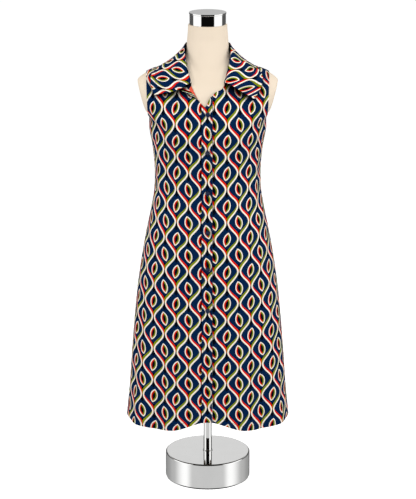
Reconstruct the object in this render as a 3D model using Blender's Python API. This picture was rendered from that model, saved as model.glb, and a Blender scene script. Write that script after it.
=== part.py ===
"""A sleeveless shirt dress on a limbless dress form with a pole and a round base.

The dress front faces -Y, the wearer's right is -X and the origin is the middle of the
base's underside. Sizes are in millimetres here and become metres when a mesh is made.
Every cloth piece is a wall on one surface: closed rings round the body, from the hem
up over the shoulders to the neckline, where an angle of 0 is the centre front, 90 the
wearer's left side seam and shoulder seam, and 180 the centre back.
"""
import math

import bmesh
import bpy
from mathutils import Matrix, Vector

MM = 0.001

# Cloth
WALL = 1.2             # thickness of a cloth piece
SEAM = 0.3             # space between two pieces at a seam
SEAM_SIDE = 0.18       # from a side or shoulder seam's middle to a piece's outer edge
LAP = WALL + SEAM      # one cloth piece lying on another

# Rings of the dress surface, from the hem up. A ring's heights are at the side, centre
# front and centre back; half is its half width, front and back are its depths; power is
# 2 for an ellipse; climb says how its height changes from the front to the side; gap is
# the space from the cloth's inner face to the dress form.
COLUMNS = ("side_z", "front_z", "back_z", "half", "front", "back", "power", "climb", "gap")
RINGS = {
    "hem":           (165.5, 165.5, 165.5, 216.0, 130.0, 124.0, 2.10, 2.0, 60.0),
    "skirt_low":     (260.0, 260.0, 260.0, 207.5, 130.0, 126.0, 2.10, 2.0, 55.0),
    "skirt_mid":     (350.0, 350.0, 350.0, 201.0, 130.0, 128.0, 2.10, 2.0, 50.0),
    "skirt_high":    (440.0, 440.0, 440.0, 193.5, 129.0, 131.0, 2.10, 2.0, 42.0),
    "thigh":         (530.0, 530.0, 530.0, 184.5, 128.0, 133.0, 2.08, 2.0, 32.0),
    "hip":           (610.0, 610.0, 610.0, 173.0, 127.0, 133.0, 2.06, 2.0, 22.0),
    "high_hip":      (680.0, 680.0, 680.0, 160.5, 125.0, 130.0, 2.05, 2.0, 18.0),
    "under_waist":   (740.0, 740.0, 740.0, 148.0, 122.0, 123.0, 2.05, 2.0, 20.0),
    "low_waist":     (795.0, 795.0, 795.0, 138.8, 119.0, 115.0, 2.05, 2.0, 24.0),
    "waist":         (850.0, 850.0, 850.0, 137.2, 118.0, 110.0, 2.05, 2.0, 25.0),
    "ribs":          (905.0, 903.0, 905.0, 141.8, 120.0, 108.0, 2.05, 2.0, 14.0),
    "bust":          (955.0, 935.0, 953.0, 150.5, 124.0, 107.0, 2.05, 2.0, 5.0),
    "underarm":      (988.0, 952.0, 985.0, 152.0, 124.0, 106.0, 2.05, 2.0, 3.0),
    "arm_low":       (1012.0, 964.0, 1010.0, 170.0, 122.0, 104.0, 1.98, 2.0, 2.0),
    "arm_mid":       (1045.0, 976.0, 1040.0, 186.0, 120.0, 100.0, 1.92, 2.0, 2.2),
    "arm_high":      (1080.0, 988.0, 1072.0, 186.0, 118.0, 92.0, 1.92, 2.0, 3.0),
    "shoulder_tip":  (1103.0, 999.0, 1098.0, 157.0, 116.5, 83.0, 1.96, 2.0, 1.8),
    "mid_shoulder":  (1116.0, 1010.0, 1119.0, 120.0, 115.0, 73.0, 2.00, 1.9, 0.9),
    "near_neck":     (1126.0, 1020.0, 1134.0, 87.0, 113.5, 65.0, 2.00, 1.75, 0.9),
    "neckline":      (1133.0, 1029.0, 1146.0, 63.0, 112.0, 58.0, 2.00, 1.65, 0.9),
}
ORDER = list(RINGS)
UNDERARM = ORDER.index("underarm")
TIP = ORDER.index("shoulder_tip")
NECK = ORDER.index("neckline")

# Hem: it curves up to the front opening and a little at the side seams
HEM_FRONT_RISE = 30.0
HEM_FRONT_REACH = 65.0
HEM_SIDE_RISE = 13.0
HEM_SIDE_POWER = 6

# Two soft rounds over the bust, the same on the cloth and on the form
BUST_ANGLE = 36.0
BUST_SPREAD = 19.0
BUST_Z = 968.0
BUST_HEIGHT = 46.0
BUST_OUT = 7.0

# Hanging folds: angle at the low and at the high end, half width in degrees, depth
# (outwards is positive), the height where it is deepest, and the heights where it ends
FOLD_COLUMNS = ("low_angle", "high_angle", "spread", "depth", "deepest", "low", "high")
FOLDS = (
    (-62.0, -48.0, 8.0, 7.0, 170.0, 0.0, 640.0),
    (-41.0, -34.0, 7.0, -6.0, 170.0, 0.0, 560.0),
    (-22.0, -20.0, 6.0, 4.0, 170.0, 0.0, 470.0),
    (24.0, 22.0, 6.0, 5.0, 170.0, 0.0, 520.0),
    (44.0, 37.0, 7.0, -6.0, 170.0, 0.0, 610.0),
    (66.0, 50.0, 8.0, 6.0, 170.0, 0.0, 580.0),
    (58.0, 63.0, 7.0, 4.0, 850.0, 700.0, 960.0),
    (-64.0, -60.0, 7.0, 4.0, 830.0, 690.0, 950.0),
    (112.0, 118.0, 8.0, -6.0, 170.0, 0.0, 620.0),
    (132.0, 128.0, 8.0, 8.0, 170.0, 0.0, 690.0),
    (157.0, 150.0, 9.0, -7.0, 170.0, 0.0, 600.0),
    (178.0, 176.0, 9.0, 7.0, 170.0, 0.0, 700.0),
    (-155.0, -150.0, 8.0, -7.0, 170.0, 0.0, 640.0),
    (-131.0, -130.0, 9.0, 8.0, 170.0, 0.0, 600.0),
    (-110.0, -116.0, 7.0, -5.0, 170.0, 0.0, 660.0),
    (160.0, 156.0, 7.0, 9.0, 840.0, 640.0, 1010.0),
    (144.0, 141.0, 6.0, -7.0, 835.0, 660.0, 980.0),
    (128.0, 124.0, 7.0, 7.0, 830.0, 680.0, 960.0),
    (-158.0, -155.0, 7.0, 9.0, 845.0, 650.0, 1000.0),
    (-142.0, -138.0, 6.0, -7.0, 840.0, 670.0, 985.0),
    (-125.0, -122.0, 7.0, 7.0, 825.0, 690.0, 955.0),
)

# Armhole: where the cloth stops at the side, at the underarm and at the shoulder tip
ARMHOLE_LOW_X = 152.0
ARMHOLE_TOP_X = 157.0

# Front closing, the wearer's right over the left
BAND_HALF = 11.7
BAND_LAP = 3.5         # how far the outer band reaches onto its own front
BUTTON_HEIGHTS = (1013.0, 916.0, 810.0, 708.0, 611.0, 501.0)
BUTTON_RADIUS = 5.5
BUTTON_HEIGHT = 2.4
BUTTON_RIM = 1.1
BUTTON_DISH = 0.7
BUTTON_OFF = 0.4       # its back above the outer band

# The neckline's edge on the wearer's left stands a little higher beside the opening
LEFT_RISE = 10.0
LEFT_RISE_X = 14.0
LEFT_RISE_SPREAD = 13.0

# Turned-out top of the outer band
LAPEL_START = 15.5     # degrees
LAPEL_END = 45.0
LAPEL_REACH = 1.5      # in rings, at the notch
LAPEL_TIP = 0.04       # share of that reach at its lower end
LAPEL_OUT = LAP + SEAM
LAPEL_SPRING = 0.9     # how much further its outer edge stands off
LAPEL_COLUMNS = 8

# Collar: one piece that stands at the neck seam, rolls over and lies on the shoulders
COLLAR_END = 49.0
STAND_END = 6.0
STAND_SIDE = 37.0
STAND_BACK = 33.0
STAND_LEAN = 3.5
STAND_OFF = 0.55       # the foot above the neckline's edge
ROLL_RADIUS = 2.3
LEAF_DROP = 1.4        # how fast the leaf comes down from the roll
LEAF_REST = 1.9        # its outer face above the shoulders
LEAF_SPRING = 4.6      # how much higher it floats at the front points
LEAF_BOW = 6.5         # degrees that the front edge bows down
LEAF_POINT = 3.0       # degrees that the point turns up
LEAF_EDGE = ((49.0, 15.62), (66.0, 16.30), (90.0, 17.05), (120.0, 16.75), (180.0, 16.55))

# Dress form
FORM_BOTTOM = 500.0
FORM_TOP = 1224.0
NECK_COLUMNS = COLUMNS[:6]
NECK_RINGS = (
    (1143.0, 1068.0, 1150.0, 58.0, 88.0, 50.0),
    (1157.0, 1112.0, 1160.0, 54.6, 61.0, 49.0),
    (1184.0, 1176.0, 1184.0, 52.6, 50.0, 49.0),
    (1206.0, 1204.0, 1206.0, 50.8, 48.5, 48.5),
    (FORM_TOP, FORM_TOP, FORM_TOP, 49.8, 48.0, 48.0),
)
STUB_TOP = (182.0, 1087.0)      # x and height of the flat plate's top edge
STUB_FOOT = (157.0, 996.0)
STUB_BLOCK = 400.0              # size of the block that cuts it flat
SOCKET_DEPTH = 60.0
PAST = 20.0                     # how far a cutter reaches past a face

# Stand
CAP_RADIUS = 46.3
CAP_LIP = 47.5
CAP_TOP = 1255.0
CAP_EDGE = 4.0
POLE_RADIUS = 11.0
BASE_RADIUS = 112.3
BASE_HEIGHT = 70.0
BASE_BEVEL = 2.5
BASE_SOCKET = 20.0
FIT = 0.3

# Mesh
SKIRT_ROWS = 19
ARM_ROWS = 9
SHOULDER_ROWS = 5
FRONT_COLUMNS = 10
BACK_COLUMNS = 22
BAND_COLUMNS = 2
COLLAR_COLUMNS = 40
LEAF_ROWS = 5
FORM_COLUMNS = 40
CAP_ROUND = 48
POLE_ROUND = 32
BASE_ROUND = 64
BUTTON_ROUND = 16
NEAR_PLACE = 0.02      # steps to the points that give a surface's direction
NEAR_ANGLE = 0.6

COLOURS = {  # base colour, roughness, metallic
    "printed_cloth": ((0.012, 0.026, 0.083), 0.82, 0.0),
    "navy_button": ((0.010, 0.016, 0.040), 0.30, 0.0),
    "form_shell": ((0.86, 0.76, 0.62), 0.62, 0.0),
    "chrome": ((0.80, 0.80, 0.80), 0.08, 1.0),
}


def smooth_step(value, low, high):
    """0 at low, 1 at high and soft at both."""
    share = min(max((value - low) / (high - low), 0.0), 1.0)
    return share * share * (3.0 - 2.0 * share)


def spline(values, place):
    """The value at a place along a row of values, smooth through all of them."""
    last = len(values) - 1
    first = min(int(max(place, 0.0)), last - 1)
    share = place - first
    before, here, after, beyond = (values[min(max(first + k, 0), last)] for k in (-1, 0, 1, 2))
    slope_here = (after - before) / 2
    slope_after = (beyond - here) / 2
    square, cube = share * share, share ** 3
    return ((2 * cube - 3 * square + 1) * here + (cube - 2 * square + share) * slope_here
            + (3 * square - 2 * cube) * after + (cube - square) * slope_after)


def ring_at(place):
    """The dress ring's sizes at a place between the table's rows."""
    rows = list(RINGS.values())
    return {name: spline([row[k] for row in rows], place) for k, name in enumerate(COLUMNS)}


def turn_between(angle, middle):
    """Degrees from the middle angle, the short way round."""
    return (angle - middle + 180.0) % 360.0 - 180.0


def bell(value, spread):
    return math.exp(-(value / spread) ** 2)


def ring_point(ring, angle):
    """The point of a ring at an angle."""
    across = math.sin(math.radians(angle))
    along = math.cos(math.radians(angle))
    power = ring.get("power", 2.0)
    depth = ring["front"] if along > 0 else ring["back"]
    middle_z = ring["front_z"] if along > 0 else ring["back_z"]
    climb = ring.get("climb", 2.0) if along > 0 else 2.0
    x = math.copysign(ring["half"] * abs(across) ** (2 / power), across)
    y = -math.copysign(depth * abs(along) ** (2 / power), along)
    z = middle_z + (ring["side_z"] - middle_z) * abs(across) ** climb
    return Vector((x, y, z))


def hem_rise(x, y, angle):
    """How much the hem's edge is above its lowest line."""
    across = abs(math.sin(math.radians(angle)))
    opening = HEM_FRONT_RISE * bell(x, HEM_FRONT_REACH) if y < 0 else 0.0
    return opening + HEM_SIDE_RISE * across ** HEM_SIDE_POWER


def bust_out(angle, z):
    mounds = sum(bell(turn_between(angle, side * BUST_ANGLE), BUST_SPREAD) for side in (-1, 1))
    return BUST_OUT * mounds * bell(z - BUST_Z, BUST_HEIGHT)


def fold_out(angle, z):
    """How far the hanging folds move the cloth outwards at this angle and height."""
    total = 0.0
    for row in FOLDS:
        fold = dict(zip(FOLD_COLUMNS, row))
        if not fold["low"] < z < fold["high"]:
            continue
        climb = (z - fold["low"]) / (fold["high"] - fold["low"])
        middle = fold["low_angle"] + (fold["high_angle"] - fold["low_angle"]) * climb
        end = fold["high"] if z > fold["deepest"] else fold["low"]
        strength = 1.0 - smooth_step(abs(z - fold["deepest"]), 0.0, abs(end - fold["deepest"]))
        total += fold["depth"] * strength * bell(turn_between(angle, middle), fold["spread"])
    return total


def radial(angle):
    return Vector((math.sin(math.radians(angle)), -math.cos(math.radians(angle)), 0.0))


def bare_point(place, angle):
    """The surface with the bust, without hem curve and folds."""
    point = ring_point(ring_at(place), angle)
    return point + radial(angle) * bust_out(angle, point.z)


def body_point(place, angle):
    """The dress surface."""
    point = bare_point(place, angle)
    point.z += max(1.0 - place, 0.0) * hem_rise(point.x, point.y, angle)
    if point.y < 0:
        near = smooth_step(place, TIP - 1.0, NECK)
        point.z += near * LEFT_RISE * bell(point.x - LEFT_RISE_X, LEFT_RISE_SPREAD)
    return point + radial(angle) * fold_out(angle, point.z)


def normal_at(place, angle, surface=body_point):
    """The outward direction of the dress surface at a place."""
    low, high = max(place - NEAR_PLACE, 0.0), min(place + NEAR_PLACE, NECK)
    rise = surface(high, angle) - surface(low, angle)
    turn = surface(place, angle + NEAR_ANGLE) - surface(place, angle - NEAR_ANGLE)
    return turn.cross(rise).normalized()


def cloth_point(place, angle, out=0.0):
    """A point of the dress surface, moved out along its normal."""
    return body_point(place, angle) + normal_at(place, angle) * out


def angle_at_x(place, x):
    """The angle where the ring at this place reaches a distance from the middle."""
    ring = ring_at(place)
    share = min(abs(x) / ring["half"], 1.0)
    return math.degrees(math.asin(share ** (ring["power"] / 2)))


def spread(first, last, count, ends=False):
    """Evenly spaced values, or with ends=True closer together at both ends."""
    for step in range(count + 1):
        share = step / count
        if ends:
            share = (1 - math.cos(math.pi * share)) / 2
        yield first + (last - first) * share


ROWS = (list(spread(0, UNDERARM, SKIRT_ROWS))
        + list(spread(UNDERARM, TIP, ARM_ROWS, ends=True))[1:]
        + list(spread(TIP, NECK, SHOULDER_ROWS))[1:])


def outer_angle(place):
    """Where a panel ends at the side: side seam, armhole or shoulder seam."""
    if not UNDERARM < place < TIP:
        return 90.0
    share = (place - UNDERARM) / (TIP - UNDERARM)
    return angle_at_x(place, ARMHOLE_LOW_X + (ARMHOLE_TOP_X - ARMHOLE_LOW_X) * share ** 2)


def new_object(name, bm, colour, smooth=True):
    mesh = bpy.data.meshes.new(name)
    bm.to_mesh(mesh)
    bm.free()
    mesh.transform(Matrix.Scale(MM, 4))
    piece = bpy.data.objects.new(name, mesh)
    bpy.context.scene.collection.objects.link(piece)
    mesh.materials.append(material(colour))
    if smooth:
        mesh.shade_smooth()
        mesh.set_sharp_from_angle(angle=math.radians(40))
    return piece


def material(name):
    found = bpy.data.materials.get(name)
    if found:
        return found
    colour, roughness, metallic = COLOURS[name]
    found = bpy.data.materials.new(name)
    found.use_nodes = True
    shader = found.node_tree.nodes["Principled BSDF"]
    shader.inputs["Base Color"].default_value = (*colour, 1.0)
    shader.inputs["Roughness"].default_value = roughness
    shader.inputs["Metallic"].default_value = metallic
    return found


def grid_faces(bm, rows, closed=False):
    """Joins rows of vertices with four-sided faces, outwards for rows that go up."""
    for low, high in zip(rows, rows[1:]):
        count = len(low)
        for k in range(count if closed else count - 1):
            after = (k + 1) % count
            bm.faces.new((low[k], low[after], high[after], high[k]))


def cloth(name, rows):
    """A cloth piece from rows of points on its outer face: a wall of even thickness."""
    bm = bmesh.new()
    grid_faces(bm, [[bm.verts.new(point) for point in row] for row in rows])
    piece = new_object(name, bm, "printed_cloth")
    wall = piece.modifiers.new("wall", "SOLIDIFY")
    wall.thickness = WALL * MM
    wall.offset = -1.0
    return piece


def off_seam(point, front):
    """Keeps a panel's points on their own side of the side and shoulder seams."""
    y = min(point.y, -SEAM_SIDE) if front else max(point.y, SEAM_SIDE)
    return Vector((point.x, y, point.z))


def front_panel(name, side):
    """A front, side -1 for the wearer's right, from its band to the side seam."""
    rows = []
    for place in ROWS:
        inner = angle_at_x(place, BAND_HALF + SEAM)
        angles = [side * angle for angle in spread(inner, outer_angle(place), FRONT_COLUMNS)]
        rows.append([off_seam(cloth_point(place, angle), True) for angle in sorted(angles)])
    return cloth(name, rows)


def back_panel():
    rows = []
    for place in ROWS:
        outer = outer_angle(place)
        angles = spread(180.0 - outer, 180.0 + outer, BACK_COLUMNS)
        rows.append([off_seam(cloth_point(place, angle), False) for angle in angles])
    return cloth("back", rows)


def band(name, left_x, right_x, out):
    """A straight band down the centre front, its outer face this far out."""
    rows = []
    for place in ROWS:
        angles = [math.copysign(angle_at_x(place, x), x) for x in (left_x, right_x)]
        rows.append([cloth_point(place, angle, out) for angle in spread(*angles, BAND_COLUMNS)])
    return cloth(name, rows)


def lapel():
    """The outer band's top, turned out along the neckline on the wearer's right."""
    rows = []
    for share in spread(1.0, 0.0, 2):
        row = []
        for angle in spread(-LAPEL_END, -LAPEL_START, LAPEL_COLUMNS):
            width = LAPEL_TIP + (1 - LAPEL_TIP) * smooth_step(-angle, LAPEL_START, LAPEL_END)
            place = NECK - share * LAPEL_REACH * width
            row.append(cloth_point(place, angle, LAPEL_OUT + LAPEL_SPRING * share))
        rows.append(row)
    return cloth("lapel_right", rows)


def edge_place(angle):
    """The ring where the collar's outer edge lies, at an angle from either side."""
    turn = abs(turn_between(angle, 0.0))
    angles = [row[0] for row in LEAF_EDGE]
    places = [row[1] for row in LEAF_EDGE]
    for k in range(len(angles) - 1):
        if turn <= angles[k + 1]:
            share = max((turn - angles[k]) / (angles[k + 1] - angles[k]), 0.0)
            return spline(places, k + share)
    return places[-1]


def stand_height(angle):
    turn = abs(turn_between(angle, 0.0))
    rise = smooth_step(turn, COLLAR_END - 12.0, 92.0)
    back = smooth_step(turn, 95.0, 180.0)
    return STAND_END + (STAND_SIDE - STAND_END) * rise + (STAND_BACK - STAND_SIDE) * back


def collar_column(angle, sway):
    """The collar's face from the neck seam up, over the roll and down to its edge.

    sway is 1 or -1 at the front ends and fades to 0 at the back.
    """
    seam = cloth_point(NECK, angle)
    off = normal_at(NECK, angle)
    out = Vector((off.x, off.y, 0.0)).normalized()
    up = Vector((0.0, 0.0, 1.0))
    height = stand_height(angle)
    foot = seam + off * STAND_OFF
    top = foot + up * height - out * (STAND_LEAN * height / STAND_SIDE)
    points = [foot.lerp(top, share) for share in (0.0, 0.5, 1.0)]
    middle = top + out * ROLL_RADIUS
    for turn in (45.0, 90.0, 135.0):
        points.append(middle - out * ROLL_RADIUS * math.cos(math.radians(turn))
                      + up * ROLL_RADIUS * math.sin(math.radians(turn)))
    start = middle + out * ROLL_RADIUS
    spring = 1.0 - smooth_step(abs(turn_between(angle, 0.0)), COLLAR_END, 84.0)
    rest = LEAF_REST + LEAF_SPRING * spring
    hang = start - cloth_point(NECK, angle, rest)
    for share in spread(0.0, 1.0, LEAF_ROWS):
        bent = angle + sway * (LEAF_POINT * share - LEAF_BOW * math.sin(math.pi * share))
        place = NECK + (edge_place(angle) - NECK) * share
        points.append(cloth_point(place, bent, rest) + hang * (1.0 - share) ** LEAF_DROP)
    return points


def collar():
    columns = []
    for angle in spread(COLLAR_END, 360.0 - COLLAR_END, COLLAR_COLUMNS):
        from_back = (180.0 - angle) / (180.0 - COLLAR_END)
        columns.append(collar_column(angle, math.copysign(from_back ** 4, from_back)))
    rows = [list(row) for row in zip(*columns)]
    rows.reverse()
    return cloth("collar", rows)


def turned(name, profile, colour, segments=CAP_ROUND):
    """A round piece from a profile of radius and height, bottom to top, on its axis."""
    bm = bmesh.new()
    ring_rows = []
    for radius, z in profile:
        ring_rows.append([bm.verts.new((radius * math.cos(2 * math.pi * k / segments),
                                        radius * math.sin(2 * math.pi * k / segments), z))
                          for k in range(segments)])
    grid_faces(bm, ring_rows, closed=True)
    bm.faces.new(list(reversed(ring_rows[0])))
    bm.faces.new(ring_rows[-1])
    return new_object(name, bm, colour)


def cut(piece, cutter):
    cutter.hide_render = True
    cutter.display_type = "WIRE"
    hole = piece.modifiers.new("cut_" + cutter.name, "BOOLEAN")
    hole.operation = "DIFFERENCE"
    hole.solver = "EXACT"
    hole.object = cutter


def form_point(place, angle):
    """The dress form's surface inside the dress."""
    ring = ring_at(place)
    inward = normal_at(place, angle, bare_point) * -(WALL + ring["gap"])
    return bare_point(place, angle) + inward


def form_torso():
    bm = bmesh.new()
    rows = []
    angles = [360.0 * k / FORM_COLUMNS for k in range(FORM_COLUMNS)]
    for place in ROWS:
        if ring_at(place)["side_z"] > FORM_BOTTOM:
            rows.append([form_point(place, angle) for angle in angles])
    rows.insert(0, [Vector((p.x, p.y, FORM_BOTTOM)) for p in rows[0]])
    for row in NECK_RINGS:
        ring = dict(zip(NECK_COLUMNS, row))
        rows.append([ring_point(ring, angle) for angle in angles])
    made = [[bm.verts.new(point) for point in row] for row in rows]
    grid_faces(bm, made, closed=True)
    bm.faces.new(list(reversed(made[0])))
    bm.faces.new(made[-1])
    torso = new_object("form_torso", bm, "form_shell")
    for side in (-1, 1):
        cut(torso, stub_cutter(side))
    cut(torso, socket_cutter("pole_socket", FORM_BOTTOM - PAST, FORM_BOTTOM + SOCKET_DEPTH))


def socket_cutter(name, low, high):
    """A round cutter on the pole's axis, a little wider than the pole."""
    return turned(name, ((POLE_RADIUS + FIT, low), (POLE_RADIUS + FIT, high)), "chrome", POLE_ROUND)


def stub_cutter(side):
    """A block whose inner face is the flat, leaning end of an arm stub."""
    lean = (STUB_TOP[0] - STUB_FOOT[0]) / (STUB_TOP[1] - STUB_FOOT[1])
    bm = bmesh.new()
    bmesh.ops.create_cube(bm, size=1.0)
    for vert in bm.verts:
        z = STUB_FOOT[1] + vert.co.z * STUB_BLOCK
        face_x = STUB_FOOT[0] + lean * (z - STUB_FOOT[1])
        x = side * (face_x if vert.co.x * side < 0 else STUB_BLOCK)
        vert.co = (x, vert.co.y * STUB_BLOCK, z)
    return new_object("stub_end_left" if side > 0 else "stub_end_right", bm, "form_shell", False)


def buttons():
    rim = BUTTON_RADIUS - BUTTON_RIM
    profile = ((rim, 0.0), (BUTTON_RADIUS, 0.8), (BUTTON_RADIUS, BUTTON_HEIGHT - 0.4),
               (BUTTON_RADIUS - 0.5, BUTTON_HEIGHT), (rim, BUTTON_HEIGHT),
               (rim - BUTTON_DISH, BUTTON_HEIGHT - BUTTON_DISH))
    for number, height in enumerate(BUTTON_HEIGHTS, start=1):
        place = place_at_height(height)
        point = cloth_point(place, 0.0, LAP + BUTTON_OFF)
        out = normal_at(place, 0.0)
        piece = turned("button_%d" % number, profile, "navy_button", BUTTON_ROUND)
        piece.rotation_mode = "QUATERNION"
        piece.rotation_quaternion = out.to_track_quat("Z", "Y")
        piece.location = point * MM


def place_at_height(height):
    """The place between rings where the centre front is at a height."""
    low, high = 0.0, float(NECK)
    for _ in range(30):
        middle = (low + high) / 2
        if body_point(middle, 0.0).z < height:
            low = middle
        else:
            high = middle
    return low


def stand():
    cap = ((CAP_RADIUS, FORM_TOP + FIT), (CAP_RADIUS, CAP_TOP - CAP_EDGE),
           (CAP_LIP, CAP_TOP - CAP_EDGE + 0.8), (CAP_LIP, CAP_TOP - 0.8), (CAP_LIP - 0.8, CAP_TOP))
    turned("neck_cap", cap, "chrome")
    foot = BASE_HEIGHT - BASE_SOCKET + FIT
    head = FORM_BOTTOM + SOCKET_DEPTH - FIT
    turned("pole", ((POLE_RADIUS, foot), (POLE_RADIUS, head)), "chrome", POLE_ROUND)
    inner, soft = BASE_RADIUS - BASE_BEVEL, BASE_BEVEL * 0.3
    drum = ((inner, 0.0), (BASE_RADIUS, BASE_BEVEL), (BASE_RADIUS, BASE_HEIGHT - BASE_BEVEL),
            (BASE_RADIUS - soft, BASE_HEIGHT - soft), (inner, BASE_HEIGHT))
    base = turned("base", drum, "chrome", BASE_ROUND)
    cut(base, socket_cutter("base_socket", BASE_HEIGHT - BASE_SOCKET, BASE_HEIGHT + PAST))


def main():
    for old in list(bpy.data.objects):
        bpy.data.objects.remove(old, do_unlink=True)
    front_panel("front_right", -1)
    front_panel("front_left", 1)
    back_panel()
    band("band_left", -BAND_HALF + SEAM, BAND_HALF, 0.0)
    band("band_right", -BAND_HALF - BAND_LAP, BAND_HALF, LAP)
    lapel()
    collar()
    buttons()
    form_torso()
    stand()


main()
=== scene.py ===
"""Looks of a sleeveless shirt dress on its dress form, pole and round chrome base.

The dress front faces -Y, the wearer's right is -X and the floor is at 0. Sizes are in
millimetres here and become metres when a mesh is made. All cloth lies on one surface of
closed rings round the body: an angle of 0 is the centre front, 90 the wearer's left side
seam and shoulder seam, 180 the centre back.
"""
import math

import bmesh
import bpy
import numpy as np
from mathutils import Matrix, Vector


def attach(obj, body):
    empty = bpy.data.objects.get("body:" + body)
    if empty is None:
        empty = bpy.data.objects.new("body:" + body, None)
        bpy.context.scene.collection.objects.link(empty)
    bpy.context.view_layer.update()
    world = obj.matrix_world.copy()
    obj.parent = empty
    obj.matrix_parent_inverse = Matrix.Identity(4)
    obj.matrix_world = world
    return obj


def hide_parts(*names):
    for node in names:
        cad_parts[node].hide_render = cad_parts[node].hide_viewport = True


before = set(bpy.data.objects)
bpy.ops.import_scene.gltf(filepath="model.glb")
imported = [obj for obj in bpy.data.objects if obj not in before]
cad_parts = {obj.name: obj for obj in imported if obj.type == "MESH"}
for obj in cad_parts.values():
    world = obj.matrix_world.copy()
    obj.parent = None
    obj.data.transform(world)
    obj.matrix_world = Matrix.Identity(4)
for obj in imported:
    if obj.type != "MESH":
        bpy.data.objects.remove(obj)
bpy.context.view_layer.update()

MM = 0.001

# Cloth
WALL = 1.1             # thickness of the cloth with its turned edges
SEAM = 0.3             # space between two pieces at a seam
SEAM_SIDE = 0.18       # from a side or shoulder seam's middle to a piece's outer edge
LAP = 1.5              # one cloth piece lying on another
EDGE_ROUND = 0.38      # radius of a turned edge,
EDGE_SHARP = 60.0      # which is sharper than this, in degrees

# Rings of the dress surface, from the hem up. A ring's heights are at the side, centre
# front and centre back; half is its half width, front and back are its depths; power is
# 2 for an ellipse; climb says how its height changes from the front to the side; gap is
# the space from the cloth to the dress form.
COLUMNS = ("side_z", "front_z", "back_z", "half", "front", "back", "power", "climb", "gap")
RINGS = {
    "hem": (165.5, 165.5, 165.5, 216, 130, 124, 2.1, 2, 60),
    "skirt_low": (260, 260, 260, 207.5, 130, 126, 2.1, 2, 55),
    "skirt_mid": (350, 350, 350, 201, 130, 128, 2.1, 2, 50),
    "skirt_high": (440, 440, 440, 193.5, 129, 131, 2.1, 2, 42),
    "thigh": (530, 530, 530, 184.5, 128, 133, 2.08, 2, 32),
    "hip": (610, 610, 610, 173, 127, 133, 2.06, 2, 22),
    "high_hip": (680, 680, 680, 160.5, 125, 130, 2.05, 2, 18),
    "under_waist": (740, 740, 740, 148, 122, 123, 2.05, 2, 20),
    "low_waist": (795, 795, 795, 138.8, 119, 115, 2.05, 2, 24),
    "waist": (850, 850, 850, 137.2, 118, 110, 2.05, 2, 25),
    "ribs": (905, 903, 905, 141.8, 120, 108, 2.05, 2, 14),
    "bust": (955, 935, 953, 150.5, 124, 107, 2.05, 2, 5),
    "underarm": (988, 952, 985, 152, 124, 106, 2.05, 2, 3),
    "arm_low": (1012, 964, 1010, 170, 122, 104, 1.98, 2, 2),
    "arm_mid": (1045, 976, 1040, 186, 120, 100, 1.92, 2, 2.2),
    "arm_high": (1080, 988, 1072, 186, 118, 92, 1.92, 2, 3),
    "shoulder_tip": (1103, 999, 1098, 157, 116.5, 83, 1.96, 2, 1.8),
    "mid_shoulder": (1116, 1010, 1119, 120, 115, 73, 2, 1.9, 0.9),
    "near_neck": (1126, 1020, 1134, 87, 113.5, 65, 2, 1.75, 0.9),
    "neckline": (1133, 1029, 1146, 63, 112, 58, 2, 1.65, 0.9),
}
TABLE = dict(zip(COLUMNS, np.array(list(RINGS.values()), float).T))
ORDER = list(RINGS)
UNDERARM = ORDER.index("underarm")
TIP = ORDER.index("shoulder_tip")
NECK = ORDER.index("neckline")

# Hem: it curves up to the front opening and a little at the side seams
HEM_FRONT_RISE = 30.0
HEM_FRONT_REACH = 65.0
HEM_SIDE_RISE = 13.0
HEM_SIDE_POWER = 6

# Two soft rounds over the bust, the same on the cloth and on the form
BUST_ANGLE = 36.0
BUST_SPREAD = 19.0
BUST_Z = 968.0
BUST_HEIGHT = 46.0
BUST_OUT = 7.0

# Hanging folds: angle at the low and at the high end, half width in degrees, depth
# (outwards is positive), the height where it is deepest, and the heights where it ends
FOLDS = (
    (-62, -48, 8, 7, 170, 0, 640),
    (-41, -34, 7, -6, 170, 0, 560),
    (-22, -20, 6, 4, 170, 0, 470),
    (24, 22, 6, 5, 170, 0, 520),
    (44, 37, 7, -6, 170, 0, 610),
    (66, 50, 8, 6, 170, 0, 580),
    (58, 63, 7, 4, 850, 700, 960),
    (-64, -60, 7, 4, 830, 690, 950),
    (112, 118, 8, -6, 170, 0, 620),
    (132, 128, 8, 8, 170, 0, 690),
    (157, 150, 9, -7, 170, 0, 600),
    (178, 176, 9, 7, 170, 0, 700),
    (-155, -150, 8, -7, 170, 0, 640),
    (-131, -130, 9, 8, 170, 0, 600),
    (-110, -116, 7, -5, 170, 0, 660),
    (160, 156, 7, 9, 840, 640, 1010),
    (144, 141, 6, -7, 835, 660, 980),
    (128, 124, 7, 7, 830, 680, 960),
    (-158, -155, 7, 9, 845, 650, 1000),
    (-142, -138, 6, -7, 840, 670, 985),
    (-125, -122, 7, 7, 825, 690, 955),
)

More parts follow.
